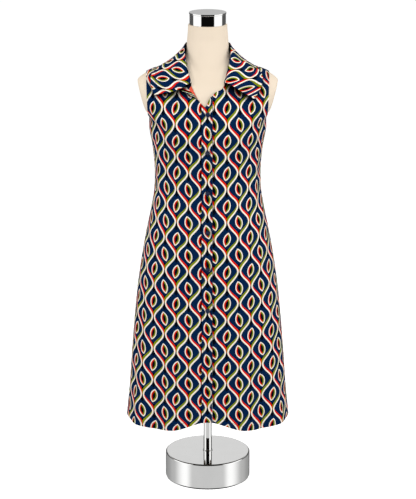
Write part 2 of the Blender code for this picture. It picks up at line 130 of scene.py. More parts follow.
# Finer creases: the angle and height of both ends, half width, and how far out (or in)
DEGREE_MM = 2.3        # one degree of angle, about this far round the body
CREASES = (
    # front: from the bust to the side seams and down to the waist
    (40, 862, 37, 948, 9, 1.5),
    (-37, 868, -35, 944, 10, 1.3),
    (84, 905, 52, 951, 6, -1.3),
    (-86, 912, -55, 946, 6, -1.2),
    (88, 884, 60, 918, 6.5, 1.4),
    (-87, 878, -58, 921, 6, 1.2),
    (86, 846, 50, 868, 6, -1.8),
    (-88, 852, -56, 880, 5.5, -1.6),
    (89, 822, 58, 834, 6, 1.6),
    (-88, 828, -52, 846, 6.5, 1.5),
    (87, 796, 54, 782, 6, -1.4),
    (-86, 803, -60, 794, 5.5, -1.3),
    (84, 752, 57, 716, 7, 1.1),
    (-85, 764, -55, 722, 7.5, 1.2),
    (74, 1000, 55, 962, 5, 0.9),
    (-73, 1003, -57, 958, 5, 1),
    # front: pulls between the buttons
    (8, 968, 24, 940, 5.5, 0.7),
    (-10, 962, -26, 944, 5, 0.6),
    (8, 866, 27, 850, 5.5, -0.8),
    (-10, 861, -24, 878, 5, -0.7),
    (8, 762, 26, 776, 5.5, 0.7),
    (-10, 757, -27, 740, 5.5, 0.7),
    (8, 660, 22, 644, 5, -0.6),
    # front: long soft lines in the skirt
    (35, 250, 31, 530, 9, 1.4),
    (-30, 230, -28, 480, 9, 1.2),
    (55, 300, 51, 610, 10, -1.5),
    (-52, 280, -47, 600, 10, -1.3),
    (77, 240, 72, 560, 9, 1.5),
    (-78, 260, -70, 590, 9, 1.6),
    # back: buckles in the small of the back and lines from the shoulder blades
    (146, 884, 177, 868, 6.5, 2),
    (-149, 874, 178, 858, 6.5, -1.9),
    (139, 846, 168, 838, 6, -2.1),
    (-144, 842, -171, 834, 6.5, 2.2),
    (148, 808, 176, 800, 6.5, 1.8),
    (-141, 806, -169, 798, 6, -1.7),
    (126, 905, 100, 930, 6.5, 1.5),
    (-128, 899, -101, 926, 6.5, 1.4),
    (122, 820, 96, 812, 6.5, -1.8),
    (-124, 826, -97, 818, 6.5, -1.6),
    (150, 1010, 118, 1046, 7, 1.1),
    (-152, 1004, -120, 1044, 7, 1),
    (112, 990, 131, 950, 6, -0.9),
    (-113, 992, -130, 955, 6, -0.9),
    (150, 735, 166, 660, 9, -1.5),
    (-148, 728, -164, 655, 9, -1.6),
    (168, 300, 165, 600, 10, -1.5),
    (-142, 280, -140, 580, 10, -1.4),
    (120, 260, 122, 560, 9, 1.5),
    (-121, 300, -124, 610, 9, 1.5),
)

# Small waves that the stitches draw in along a seam or hem
PUCKER_OUT = 0.25
PUCKER_LENGTH = 17.0   # from wave to wave
PUCKER_REACH = 7.0     # how far from the seam they fade
PUCKER_SLANT = 9.0     # depth over which a wave shifts by one radian

# Armhole: where the cloth stops at the side, at the underarm and at the shoulder tip
ARMHOLE_LOW_X = 152.0
ARMHOLE_TOP_X = 157.0

# Front closing, the wearer's right over the left
BAND_HALF = 11.7
BAND_LAP = 3.5         # how much wider the outer band is, on the wearer's right
UNDER_BAND_SHIFT = (0.0, 30.0)  # the bands' print against the fronts'
OUTER_BAND_SHIFT = (17.0, 21.0)
BUTTON_HEIGHTS = (1013, 916, 810, 708, 611, 501)
BUTTON_RADIUS = 5.5
BUTTON_OFF = 0.4       # its underside above the band, on its thread
BUTTON_PROFILE = (     # from the rim inwards, and height: underside, rim and sunken middle
    (1.6, 0.0), (0.7, 0.15), (0.2, 0.6), (0.0, 1.2), (0.05, 1.75), (0.35, 2.2), (0.8, 2.4), (1.2, 2.3),
    (1.6, 1.95), (2.0, 1.7), (2.5, 1.6))
BUTTON_MIDDLE = 1.6    # height of its sunken middle
BUTTON_SIDES = 48      # how many sides it has, and each hole
HOLE_SIDES = 16
BUTTON_HOLE = 0.75     # radius of each of its four holes
BUTTON_HOLE_OFF = 1.3  # from the middle to a hole, each way
BUTTONHOLE_LONG = 14.0
BUTTONHOLE_WIDE = 2.6
BUTTONHOLE_LOW = 1.0   # how much lower than the button its slit's middle is

# The neckline's edge on the wearer's left climbs steeply from the opening, then bows out
LEFT_RISE = 24.0
LEFT_RISE_STEEP = (-8.0, 7.0)   # from x to x
LEFT_RISE_EASE = (17.0, 43.0)
LEFT_RISE_LEAN = 0.3            # how far its top leans back to the chest, as a share of it

# Turned-out top of the outer band
LAPEL_START = 19.0     # where it starts along the neckline, in degrees,
LAPEL_END = 40.5       # and where it stops, beside the collar
LAPEL_UNDER = 6.0      # how many degrees further its outer edge runs, under the collar
LAPEL_REACH = 1.5      # its full width, in places between rings
LAPEL_TIP = 0.04       # its width at its start, as a share of that
LAPEL_OUT = 1.8        # how high the turned cloth lies above the front
LAPEL_SPRING = 8.0     # how much further its outer edge stands off at the notch
LAPEL_FOLD = 0.3       # how high its folded edge starts above the front
LAPEL_FOLD_SHARE = 0.14         # the share of its width that its fold takes up
LAPEL_SHIFT = (42.0, 48.0)      # where its print starts, along the weft and up the warp
LAPEL_ROWS = 16        # and how they close up towards the fold
LAPEL_ROW_POWER = 1.6
LAPEL_COLUMNS = 60
CORAL_ROWS = 6
CORAL_ROW_POWER = 1.5
CORAL_SHARE = 0.42     # the plain coral strip along its fold, as a share of its width
CORAL_LEAST = 0.03     # what is left of it at its ends
CORAL_GROWS = (16.0, 33.0)      # it widens between these degrees
CORAL_ENDS = (35.0, 41.5)       # and runs out between these, below the collar

# Collar: one piece that stands at the neck seam, rolls over and lies on the shoulders
COLLAR_END = 41.0      # its ends, in degrees from the centre front
STAND_END = 5.0        # height of the stand at its ends, at the side and at the back
STAND_SIDE = 37.0
STAND_BACK = 33.0
STAND_RISES = (29.0, 92.0)      # it rises between these degrees
STAND_SINKS = (95.0, 180.0)     # and sinks a little between these
STAND_LEAN = 8.0       # how far it leans in to the neck
STAND_OFF = 0.55       # from the neckline's edge out to its foot
ROLL_RADIUS = 2.3
LEAF_DROP = 1.4        # how soon the leaf comes to rest below the roll
LEAF_REST = 1.9        # the space that it rests at
LEAF_SPRING = 5.5      # how much further its front ends spring off, up to an angle
LEAF_SPRING_END = 84.0
LEAF_BOW = (0.2, 3.5)          # of the front edge, on the wearer's left and right, in degrees
LEAF_POINT = (3.2, 9.7)        # how far its point is swept out from the straight line
LEAF_ARCH = (13.0, 10.0)       # how high its front edge arches up between the notch and the point
LEAF_ANGLES = (COLLAR_END, 66.0, 90.0, 120.0, 180.0)
# where its outer edge lies at these angles, as places between rings, on the left and right
LEAF_PLACES = ((15.73, 16.20, 17.05, 16.75, 16.55), (15.56, 16.15, 17.05, 16.75, 16.55))
# soft waves in it: angle, half width and how far out
LEAF_WAVES = ((72.0, 11.0, 1.1), (-80.0, 12.0, 1.3), (112.0, 14.0, -0.7), (-128.0, 15.0, 0.9))
LEAF_WAVE_LEAST = -0.6          # the furthest that a wave goes in
COLLAR_ROWS = (26, 10, 8)      # down the leaf, over the roll and down the stand
COLLAR_COLUMNS = 240
COLLAR_PRINT_UP = 9.0          # its print's height at the leaf's edge

# Dress form
FORM_BOTTOM = 500.0
FORM_TOP = 1224.0
NECK_COLUMNS = COLUMNS[:6]
NECK_RINGS = (
    (1143, 1068, 1150, 58, 88, 50),
    (1157, 1112, 1160, 54.6, 61, 49),
    (1184, 1176, 1184, 52.6, 50, 49),
    (1206, 1204, 1206, 50.8, 48.5, 48.5),
    (FORM_TOP, FORM_TOP, FORM_TOP, 49.8, 48, 48),
)
FORM_EDGE = 1.6                 # how round the form's top and bottom edges are
FORM_HALVES = (100.0, 49.0)     # about how far these edges are from the middle
FORM_LOW_EDGE = (0.995, 0.4)    # a ring in its lower edge: share of the width, and height
FORM_TOP_EDGE = ((0.3, 0.8), (1.0, math.pi / 2))    # its upper edge: share inwards, and turn
FORM_ROWS = (109, 59, 23, 59)   # to the underarm, the armhole's top, the neckline and the top
FORM_COLUMNS = 160
STUB_TOP = (182.0, 1087.0)      # x and height of the flat plate's top edge
STUB_FOOT = (157.0, 996.0)
STUB_ROUND = 1.3
SOCKET_DEPTH = 60.0

# Stand
CAP_RADIUS = 46.3
CAP_LIP = 47.5
CAP_TOP = 1255.0
CAP_EDGE = 4.0
POLE_RADIUS = 11.0
POLE_WASHER = (12.8, 1.4)       # radius and height of the ring where it enters the base
BASE_RADIUS = 112.3
BASE_HEIGHT = 70.0
BASE_SOCKET = 20.0              # depth of the hole that the pole stands in
BASE_RING = 60.0                # radius of a ring that splits its flat top
BASE_BEVEL = 2.4
BASE_FOOT = (1.6, 4.0)          # width and height of the chamfer round its underside
FIT = 0.3
CORNERS = {"cap": 0.35, "pole": 0.15, "foot": 0.4, "socket": 0.3}      # radii
STEP = 0.4             # rise of the slope under the cap's lip and over the washer
SEAT = 0.05            # the washer's height above the base
FLAT_STRIP = 1.4       # from a corner to the end of its flat strip, in corner radii
SIDES = {"neck_cap": 160, "pole": 96, "base": 200}      # of the turned parts

# Meshes: rows of a panel as places between rings, with how many rows each stretch gets
ROW_STRETCHES = ((0.0, 0.25, 7), (0.25, 12.0, 216))
ARM_ROWS = 40
SHOULDER_ROWS = 16
FRONT_COLUMNS = 60
BACK_COLUMNS = 124
BAND_COLUMNS = 9
NEAR_PLACE = 0.02      # steps to the points that give a surface's direction
NEAR_ANGLE = 0.6

# Sewing
THREAD_RADIUS = 0.24
STITCH_LONG = 2.5
STITCH_STEP = 3.3
EDGE_STITCH = 4.5      # from an edge to its topstitching
HEM_STITCH = 9.0
SEAM_STITCH = 0.2      # from a side seam to where the hem's stitches start, in degrees
PATH_POINTS = 500
LEAF_STITCH = 0.11     # from the collar's outer edge, as a share of the leaf
LEAF_STITCH_TURN = 3.6         # and from its front edges, in degrees
LEAF_STITCH_TOP = 2.15         # the run where its stitches start, below the roll
THREAD_PROUD = 0.35    # how high a thread's middle lies on the cloth, in radii
THREAD_OVER = 1.05     # how much longer it is than its stitch
WHIP_RADIUS = 0.26     # thread down the sides of a buttonhole
WHIP_STEP = 0.55
WHIP_INNER = 0.25      # from the slit's middle to these stitches
WHIP_HIGH = 0.02       # how high they lie on the band
BAR_RADIUS = 0.4       # thread across its ends
BAR_HIGH = 0.1
BUTTON_THREAD = 0.22   # thread through a button, in three strands over each pair of holes
STRANDS = (-0.33, 0.0, 0.33)
STRAND_HALF = 1.75     # half a strand's length
STRAND_HIGH = 1.62     # how high it lies on its button


# ---------------------------------------------------------------- the dress surface

def smooth_step(value, low, high):
    """0 at low, 1 at high and soft at both."""
    share = np.clip((value - low) / (high - low), 0.0, 1.0)
    return share * share * (3.0 - 2.0 * share)


def spline(values, place):
    """The values at places along a row of values, smooth through all of them."""
    values = np.asarray(values, float)
    last = len(values) - 1
    first = np.clip(np.asarray(place, float).astype(int), 0, last - 1)
    share = np.reshape(place - first, np.shape(first) + (1,) * (values.ndim - 1))
    before, here = values[np.maximum(first - 1, 0)], values[first]
    after, beyond = values[first + 1], values[np.minimum(first + 2, last)]
    slope_here, slope_after = (after - before) / 2, (beyond - here) / 2
    square, cube = share * share, share ** 3
    return ((2 * cube - 3 * square + 1) * here + (cube - 2 * square + share) * slope_here
            + (3 * square - 2 * cube) * after + (cube - square) * slope_after)


def ring_at(place):
    """The dress ring's sizes at places between the table's rows."""
    return {name: spline(TABLE[name], place) for name in COLUMNS}


def turn_between(angle, middle):
    """Degrees from the middle angle, the short way round."""
    return (angle - middle + 180.0) % 360.0 - 180.0


def bell(value, spread):
    """1 at 0, fading softly to both sides."""
    return np.exp(-(value / spread) ** 2)


def unit(vectors):
    """The vectors at length 1."""
    return vectors / np.linalg.norm(vectors, axis=-1, keepdims=True)


def paired(place, angle):
    """Places and angles as arrays of one shape."""
    return np.broadcast_arrays(np.asarray(place, float), np.asarray(angle, float))


def steps_up_to(low, high, count):
    """A number of equal steps from low, without the end."""
    return np.linspace(low, high, count + 1)[:-1]


def running(lengths, axis):
    """Running totals along an axis, starting from 0."""
    return np.concatenate((np.zeros_like(np.take(lengths, [0], axis)), np.cumsum(lengths, axis)), axis)


def ring_point(ring, angle):
    """The points of a ring at some angles."""
    across, along = np.sin(np.radians(angle)), np.cos(np.radians(angle))
    power = ring.get("power", 2.0)
    depth = np.where(along > 0, ring["front"], ring["back"])
    middle_z = np.where(along > 0, ring["front_z"], ring["back_z"])
    climb = np.where(along > 0, ring.get("climb", 2.0), 2.0)
    x = ring["half"] * np.sign(across) * np.abs(across) ** (2 / power)
    y = -depth * np.sign(along) * np.abs(along) ** (2 / power)
    z = middle_z + (ring["side_z"] - middle_z) * np.abs(across) ** climb
    return np.stack(np.broadcast_arrays(x, y, z), -1)


def hem_rise(points, angle):
    """How much the hem's edge is above its lowest line."""
    across = np.abs(np.sin(np.radians(angle)))
    opening = HEM_FRONT_RISE * bell(points[..., 0], HEM_FRONT_REACH)
    return np.where(points[..., 1] < 0, opening, 0.0) + HEM_SIDE_RISE * across ** HEM_SIDE_POWER


def bust_out(angle, z):
    """How far the bust moves the surface outwards."""
    mounds = sum(bell(turn_between(angle, side * BUST_ANGLE), BUST_SPREAD) for side in (-1, 1))
    return BUST_OUT * mounds * bell(z - BUST_Z, BUST_HEIGHT)


def fold_out(angle, z):
    """How far the hanging folds move the cloth outwards."""
    total = 0.0
    for low_angle, high_angle, spread, depth, deepest, low, high in FOLDS:
        climb = np.clip((z - low) / (high - low), 0.0, 1.0)
        middle = low_angle + (high_angle - low_angle) * climb
        end = np.where(z > deepest, high, low)
        strength = 1.0 - smooth_step(np.abs(z - deepest), 0.0, np.abs(end - deepest))
        total = total + depth * strength * bell(turn_between(angle, middle), spread)
    return total


def crease_out(angle, z):
    """How far the finer creases move the cloth: soft ridges and troughs that fade at both ends."""
    total = 0.0
    for from_angle, from_z, to_angle, to_z, width, out in CREASES:
        run, rise = turn_between(to_angle, from_angle) * DEGREE_MM, to_z - from_z
        across, up = turn_between(angle, from_angle) * DEGREE_MM, z - from_z
        length = math.hypot(run, rise)
        share = np.clip((across * run + up * rise) / length ** 2, 0.0, 1.0)
        aside = (across * rise - up * run) / length
        total = total + out * 4 * share * (1 - share) * bell(aside, width)
    return total


def radial(angle):
    """The level directions straight out from the middle."""
    turn = np.radians(angle)
    return np.stack(np.broadcast_arrays(np.sin(turn), -np.cos(turn), np.zeros_like(turn)), -1)


def bare_point(place, angle):
    """The surface with the bust, without hem curve and folds."""
    points = ring_point(ring_at(place), angle)
    return points + radial(angle) * bust_out(angle, points[..., 2])[..., None]


def body_point(place, angle):
    """The dress surface."""
    place, angle = paired(place, angle)
    points = bare_point(place, angle)
    points[..., 2] += np.maximum(1.0 - place, 0.0) * hem_rise(points, angle)
    rise = smooth_step(points[..., 0], *LEFT_RISE_STEEP) - smooth_step(points[..., 0], *LEFT_RISE_EASE)
    rise = rise * smooth_step(place, TIP - 1.0, NECK) * np.where(points[..., 1] < 0, LEFT_RISE, 0.0)
    points[..., 2] += rise
    points[..., 1] += rise ** 2 / LEFT_RISE * LEFT_RISE_LEAN
    out = fold_out(angle, points[..., 2]) + crease_out(angle, points[..., 2])
    return points + radial(angle) * out[..., None]


def normal_at(place, angle, surface=body_point):
    """The outward directions of a surface."""
    low, high = np.maximum(place - NEAR_PLACE, 0.0), np.minimum(place + NEAR_PLACE, NECK)
    rise = surface(high, angle) - surface(low, angle)
    turn = surface(place, angle + NEAR_ANGLE) - surface(place, angle - NEAR_ANGLE)
    return unit(np.cross(turn, rise))


def cloth_point(place, angle, out=0.0):
    """Points of the dress surface, moved out along its normals."""
    place, angle = paired(place, angle)
    out = np.broadcast_to(np.asarray(out, float), place.shape)
    return body_point(place, angle) + normal_at(place, angle) * out[..., None]


def angle_at_x(place, x):
    """The angle where the rings reach a distance from the middle."""
    ring = ring_at(place)
    share = np.minimum(np.abs(x) / ring["half"], 1.0)
    return np.degrees(np.arcsin(share ** (ring["power"] / 2)))


def outer_angle(place):
    """Where a panel ends at the side: side seam, armhole or shoulder seam."""
    share = np.clip((place - UNDERARM) / (TIP - UNDERARM), 0.0, 1.0)
    cut = angle_at_x(place, ARMHOLE_LOW_X + (ARMHOLE_TOP_X - ARMHOLE_LOW_X) * share ** 2)
    return np.where((place > UNDERARM) & (place < TIP), cut, 90.0)


def panel_rows():
    """The places of a panel's rows, closer together at the hem and at the ends of the armhole."""
    parts = [steps_up_to(*stretch) for stretch in ROW_STRETCHES]
    arm = (1 - np.cos(steps_up_to(0, math.pi, ARM_ROWS))) / 2
    parts.append(UNDERARM + (TIP - UNDERARM) * arm)
    parts.append(np.linspace(TIP, NECK, SHOULDER_ROWS + 1))
    return np.concatenate(parts)


ROWS = panel_rows()


def place_at_height(height):
    """The place between rings where the centre front is at a height."""
    places = np.linspace(0, NECK, 2000)
    return float(np.interp(height, body_point(places, 0.0)[:, 2], places))


def pucker(points, edge_far):
    """Small waves near a sewn edge, for points and their distances from it."""
    wave = np.sin(2 * math.pi * points[..., 2] / PUCKER_LENGTH + points[..., 1] / PUCKER_SLANT)
    return PUCKER_OUT * wave * bell(edge_far, PUCKER_REACH)


# ---------------------------------------------------------------- materials

def linear(code):
    """An sRGB hex colour as the linear values that a shader takes."""
    parts = [int(code[k:k + 2], 16) / 255 for k in (1, 3, 5)]
    return tuple(p / 12.92 if p <= 0.04045 else ((p + 0.055) / 1.055) ** 2.4 for p in parts) + (1.0,)


def add(tree, kind, inputs=(), out=0, **settings):
    """Adds a shader node with its settings; inputs are sockets to link or values to set."""
    node = tree.nodes.new("ShaderNode" + kind)
    for name, value in settings.items():
        setattr(node, name, value)
    for key, value in (inputs.items() if isinstance(inputs, dict) else enumerate(inputs)):
        if isinstance(value, bpy.types.NodeSocket):
            tree.links.new(value, node.inputs[key])
        else:
            node.inputs[key].default_value = value
    return node.outputs[out] if node.outputs else node


def new_material(name, **values):
    """A material with its shader's own values, and its node tree."""
    material = bpy.data.materials.new(name)
    material.use_nodes = True
    shader = material.node_tree.nodes["Principled BSDF"]
    for socket, value in values.items():
        shader.inputs[socket.replace("_", " ")].default_value = value
    return material, material.node_tree


def connected(material, **sockets):
    """The material, with values linked to its shader."""
    tree = material.node_tree
    for socket, value in sockets.items():
        tree.links.new(value, tree.nodes["Principled BSDF"].inputs[socket.replace("_", " ")])
    return material


# The print, in millimetres on the cloth: wavy lines, each the mirror image of the next,
# make pointed oval cells in half-drop, and a pointed leaf stands in each cell.
LINE_SPACING = 33.0
REPEAT = 86.0
SWING = 13.0           # how far a line waves to each side
CREAM_HALF = 2.0       # half the width of a cream line
RED_BAND = 4.7         # the bands along the lines
OLIVE_BAND = 5.1
LEAF_HIGH = 19.0       # half the height of a leaf
LEAF_WIDE = 10.0       # half its width
LEAF_LINE = 2.7
LEAF_BAND = 3.3
LEAF_TILT = math.radians(13.0)
SEED_HIGH = 20.0       # half the height and width of the black oval where two lines meet
SEED_WIDE = 6.2
LEAF_ARC = (LEAF_HIGH ** 2 + LEAF_WIDE ** 2) / (2 * LEAF_WIDE)
PRINT_STEPS = (        # name, what is done, with which values
    ("lines_across", "DIVIDE", "u", LINE_SPACING),
    ("line", "ROUND", "lines_across"),
    ("line_odd", "FLOORED_MODULO", "line", 2.0),
    ("line_mirror", "MULTIPLY_ADD", "line_odd", -2.0, 1.0),
    ("turn", "MULTIPLY", "v", 2 * math.pi / REPEAT),
    ("swing", "COSINE", "turn"),
    ("lean", "SINE", "turn"),
    ("bow", "MULTIPLY", "swing", SWING),
    ("bow_here", "MULTIPLY", "bow", "line_mirror"),
    ("line_u", "MULTIPLY_ADD", "line", LINE_SPACING, "bow_here"),
    ("beside", "SUBTRACT", "u", "line_u"),
    ("steep", "MULTIPLY", "lean", SWING * 2 * math.pi / REPEAT),
    ("steep_square", "MULTIPLY_ADD", "steep", "steep", 1.0),
    ("shrink", "INVERSE_SQRT", "steep_square"),
    ("off", "MULTIPLY", "beside", "shrink"),
    ("away", "ABSOLUTE", "off"),
    ("cream_line", "LESS_THAN", "away", CREAM_HALF),
    ("slant", "MULTIPLY", "lean", "line_mirror"),
    ("falls", "GREATER_THAN", "slant", 0.0),
    ("climbs", "SUBTRACT", 1.0, "falls"),
    ("lean_size", "ABSOLUTE", "lean"),
    ("taper", "SQRT", "lean_size"),
    ("red_reach", "MULTIPLY_ADD", "taper", RED_BAND, CREAM_HALF),
    ("olive_reach", "MULTIPLY_ADD", "taper", OLIVE_BAND, CREAM_HALF),
    ("in_red", "LESS_THAN", "away", "red_reach"),
    ("in_olive", "LESS_THAN", "away", "olive_reach"),
    ("right", "GREATER_THAN", "off", 0.0),
    ("left", "SUBTRACT", 1.0, "right"),
    ("right_band", "MULTIPLY", "in_red", "right"),
    ("left_band", "MULTIPLY", "in_olive", "left"),
    ("red_line", "MULTIPLY", "right_band", "falls"),
    ("olive_line", "MULTIPLY", "left_band", "climbs"),
    ("strip", "FLOOR", "lines_across"),
    ("strip_odd", "FLOORED_MODULO", "strip", 2.0),
    ("strip_mirror", "MULTIPLY_ADD", "strip_odd", -2.0, 1.0),
    ("drop", "MULTIPLY_ADD", "strip_odd", -REPEAT / 2, REPEAT / 2),
    ("from_drop", "SUBTRACT", "v", "drop"),
    ("leaf_up", "WRAP", "from_drop", REPEAT / 2, -REPEAT / 2),
    ("in_strip", "FLOORED_MODULO", "u", LINE_SPACING),
    ("leaf_across", "SUBTRACT", "in_strip", LINE_SPACING / 2),
    ("tilt", "MULTIPLY", "strip_mirror", math.sin(LEAF_TILT)),
    ("tilt_back", "MULTIPLY", "tilt", -1.0),
    ("x_straight", "MULTIPLY", "leaf_across", math.cos(LEAF_TILT)),
    ("leaf_x", "MULTIPLY_ADD", "leaf_up", "tilt", "x_straight"),
    ("y_straight", "MULTIPLY", "leaf_up", math.cos(LEAF_TILT)),
    ("leaf_y", "MULTIPLY_ADD", "leaf_across", "tilt_back", "y_straight"),
    ("x_size", "ABSOLUTE", "leaf_x"),
    ("x_from_arc", "ADD", "x_size", LEAF_ARC - LEAF_WIDE),
    ("x_square", "MULTIPLY", "x_from_arc", "x_from_arc"),
    ("arc_square", "MULTIPLY_ADD", "leaf_y", "leaf_y", "x_square"),
    ("arc_far", "SQRT", "arc_square"),
    ("inside", "SUBTRACT", LEAF_ARC, "arc_far"),
    ("cream_leaf", "COMPARE", "inside", LEAF_LINE / 2, LEAF_LINE / 2),
    ("leaf_band", "COMPARE", "inside", LEAF_LINE + LEAF_BAND / 2, LEAF_BAND / 2),
    ("leaf_core", "GREATER_THAN", "inside", LEAF_LINE + LEAF_BAND),
    ("leaf_right", "GREATER_THAN", "leaf_x", 0.0),
    ("leaf_left", "SUBTRACT", 1.0, "leaf_right"),
    ("red_leaf", "MULTIPLY", "leaf_band", "leaf_left"),
    ("olive_leaf", "MULTIPLY", "leaf_band", "leaf_right"),
    ("seed_up", "WRAP", "from_drop", REPEAT, 0.0),
    ("seed_y", "MULTIPLY_ADD", "seed_up", 1 / SEED_HIGH, -REPEAT / 2 / SEED_HIGH),
    ("seed_x", "MULTIPLY", "leaf_across", 1 / SEED_WIDE),
    ("seed_y_square", "MULTIPLY", "seed_y", "seed_y"),
    ("seed_far", "MULTIPLY_ADD", "seed_x", "seed_x", "seed_y_square"),
    ("seed", "LESS_THAN", "seed_far", 1.0),
    ("black", "MAXIMUM", "seed", "leaf_core"),
    ("red", "MAXIMUM", "red_line", "red_leaf"),
    ("olive", "MAXIMUM", "olive_line", "olive_leaf"),
    ("cream", "MAXIMUM", "cream_line", "cream_leaf"),
)
GROUND = "#032045"
INKS = (("black", "#010714"), ("olive", "#7F8904"), ("red", "#DA1E00"), ("cream", "#F3E9DA"))
WOBBLE = 1.4           # how far the hand-drawn lines stray
WOBBLE_LENGTH = 34.0
INK_PATCH = 6.0        # size of the paler and darker patches in the inks
PAINTED_SHADE_REACH = 38.0         # painted shade: how near another surface must come for the cloth's colour to be darkened, under edges and in folds, and how strongly
PAINTED_SHADE_POWER = 4.0     # and how strongly
THREADS = 0.9          # thread spacing of the weave, drawn about three times as coarse as real
SLUB = 1.25            # length of the thicker places in its threads
PLAIN_GRAIN = 1.11     # grain of a plain woven edge and of thread, drawn as coarse
RESIN_CLOUD = 3.85     # clouds in a button
PAINT_PATCH = 111.0    # where the form was handled
ORANGE_PEEL = 2.38     # dimples of sprayed paint
WIPING = 28.6          # width of the marks that wiping left on the chrome


def printed_cotton(name, show_through):
    """Cotton poplin, plain woven and screen printed: matt, a faint sheen at grazing angles,
    inks a little uneven, and painted shade that darkens its colour near other surfaces.
    On the wrong side the print shows through paler."""
    cotton, tree = new_material(name, Roughness=0.9, Specular_IOR_Level=0.04)
    uv = add(tree, "UVMap", uv_map="cloth")
    flat = add(tree, "VectorMath", {0: uv, "Scale": 1 / MM}, operation="SCALE")
    stray = add(tree, "TexNoise", {"Vector": flat, "Scale": 1 / WOBBLE_LENGTH, "Detail": 1.0}, out=1)
    stray = add(tree, "VectorMath", (stray, (0.5, 0.5, 0.5)), operation="SUBTRACT")
    drawn = add(tree, "VectorMath", {0: stray, 1: (2 * WOBBLE,) * 3, 2: flat}, operation="MULTIPLY_ADD")
    made = {axis: add(tree, "SeparateXYZ", (drawn,), out=k) for k, axis in enumerate("uv")}
    for step, operation, *values in PRINT_STEPS:
        inputs = [made[value] if isinstance(value, str) else value for value in values]
        made[step] = add(tree, "Math", inputs, operation=operation)
    colour = linear(GROUND)
    for ink, code in INKS:
        colour = add(tree, "Mix", {0: made[ink], 6: colour, 7: linear(code)}, out=2, data_type="RGBA")
    uneven = add(tree, "TexNoise", {"Vector": flat, "Scale": 1 / INK_PATCH, "Detail": 3.0})
    uneven = add(tree, "MapRange", {"Value": uneven, "To Min": 0.93, "To Max": 1.07})
    colour = add(tree, "HueSaturation", {"Value": uneven, "Color": colour})
    # Painted shade: ambient occlusion darkens the print's colour under the collar and lapel edges, in
    # folds and beside the bands and buttons
    painted_shade = add(tree, "AmbientOcclusion", {"Distance": PAINTED_SHADE_REACH * MM}, out=1, samples=4)
    painted_shade = add(tree, "Math", (painted_shade, PAINTED_SHADE_POWER), operation="POWER")
    painted_shade = add(tree, "CombineXYZ", (painted_shade, painted_shade, painted_shade))
    colour = add(tree, "VectorMath", (colour, painted_shade), operation="MULTIPLY")
    if show_through < 1.0:
        pale = linear("#B9B4A6")
        colour = add(tree, "Mix", {0: show_through, 6: pale, 7: colour}, out=2, data_type="RGBA")
    threads = add(tree, "VectorMath", {0: flat, "Scale": 2 * math.pi / THREADS}, operation="SCALE")
    across, along = (add(tree, "SeparateXYZ", (threads,), out=k) for k in (0, 1))
    warp, weft = (add(tree, "Math", (way,), operation="SINE") for way in (across, along))
    weave = add(tree, "Math", (warp, weft), operation="MULTIPLY")
    slub = add(tree, "TexNoise", {"Vector": flat, "Scale": 1 / SLUB, "Detail": 2.0})
    weave = add(tree, "Math", (slub, 1.2, weave), operation="MULTIPLY_ADD")
    relief = add(tree, "Bump", {"Strength": 0.25, "Distance": 0.06 * MM, "Height": weave})
    return connected(cotton, Base_Color=colour, Normal=relief)


def plain_cotton(name, code):
    """Cotton dyed in one colour and woven plain: matt, with a fine uneven grain."""
    cotton, tree = new_material(name, Roughness=0.88)
    place = add(tree, "TexCoord", out=3)
    grain = add(tree, "TexNoise", {"Vector": place, "Scale": 1 / (PLAIN_GRAIN * MM), "Detail": 2.0})
    shade = add(tree, "MapRange", {"Value": grain, "To Min": 0.8, "To Max": 1.2})
    colour = add(tree, "HueSaturation", {"Value": shade, "Color": linear(code)})
    relief = add(tree, "Bump", {"Strength": 0.3, "Distance": 0.08 * MM, "Height": grain})
    return connected(cotton, Base_Color=colour, Normal=relief)


def clouded(tree, tones, size, detail, distortion=0.0):
    """A soft pattern all through a piece, and a colour that wanders with it between two tones."""
    pattern = add(tree, "TexNoise", {"Vector": add(tree, "TexCoord", out=3), "Scale": 1 / (size * MM),
                                     "Detail": detail, "Distortion": distortion})
    dark, light = (linear(tone) for tone in tones)
    return pattern, add(tree, "Mix", {0: pattern, 6: dark, 7: light}, out=2, data_type="RGBA")


def polyester_button():
    """Polyester resin, cast and tumble polished: deep navy, glossy, faintly clouded."""
    resin, tree = new_material("cast_polyester_navy", Roughness=0.22, IOR=1.54)
    colour = clouded(tree, ("#0A1428", "#1B2C4E"), RESIN_CLOUD, 2.0, 0.6)[1]
    return connected(resin, Base_Color=colour)


def painted_shell():
    """Glass-fibre shell, sprayed with matt cream paint: no highlights, a faint orange-peel
    skin and slightly warmer patches where it was handled."""
    paint, tree = new_material("matt_cream_paint", Roughness=0.7, Specular_IOR_Level=0.0)
    colour = clouded(tree, ("#E5D5BF", "#EADBC8"), PAINT_PATCH, 3.0)[1]
    place = add(tree, "TexCoord", out=3)
    peel = add(tree, "TexNoise", {"Vector": place, "Scale": 1 / (ORANGE_PEEL * MM), "Detail": 1.0})
    relief = add(tree, "Bump", {"Strength": 0.12, "Distance": 0.1 * MM, "Height": peel})
    return connected(paint, Base_Color=colour, Normal=relief)


def chrome_plate():
    """Steel, polished and chrome plated: mirror-like and faintly cool, with a trace of
    wiping marks that only blur the reflections a little."""
    chrome, tree = new_material("polished_chrome", Metallic=1.0)
    wiped, colour = clouded(tree, ("#E3E3E2", "#E9E9E8"), WIPING, 4.0)
    rough = add(tree, "MapRange", {"Value": wiped, "To Min": 0.03, "To Max": 0.06})
    return connected(chrome, Base_Color=colour, Roughness=rough)


COTTON = printed_cotton("printed_cotton_poplin", 1.0)
COTTON_BACK = printed_cotton("printed_cotton_wrong_side", 0.62)
CORAL = plain_cotton("coral_cotton_edge", "#D9543C")
NAVY_THREAD = plain_cotton("navy_cotton_thread", "#13294F")
RESIN = polyester_button()
PAINT = painted_shell()
CHROME = chrome_plate()


# ---------------------------------------------------------------- making pieces

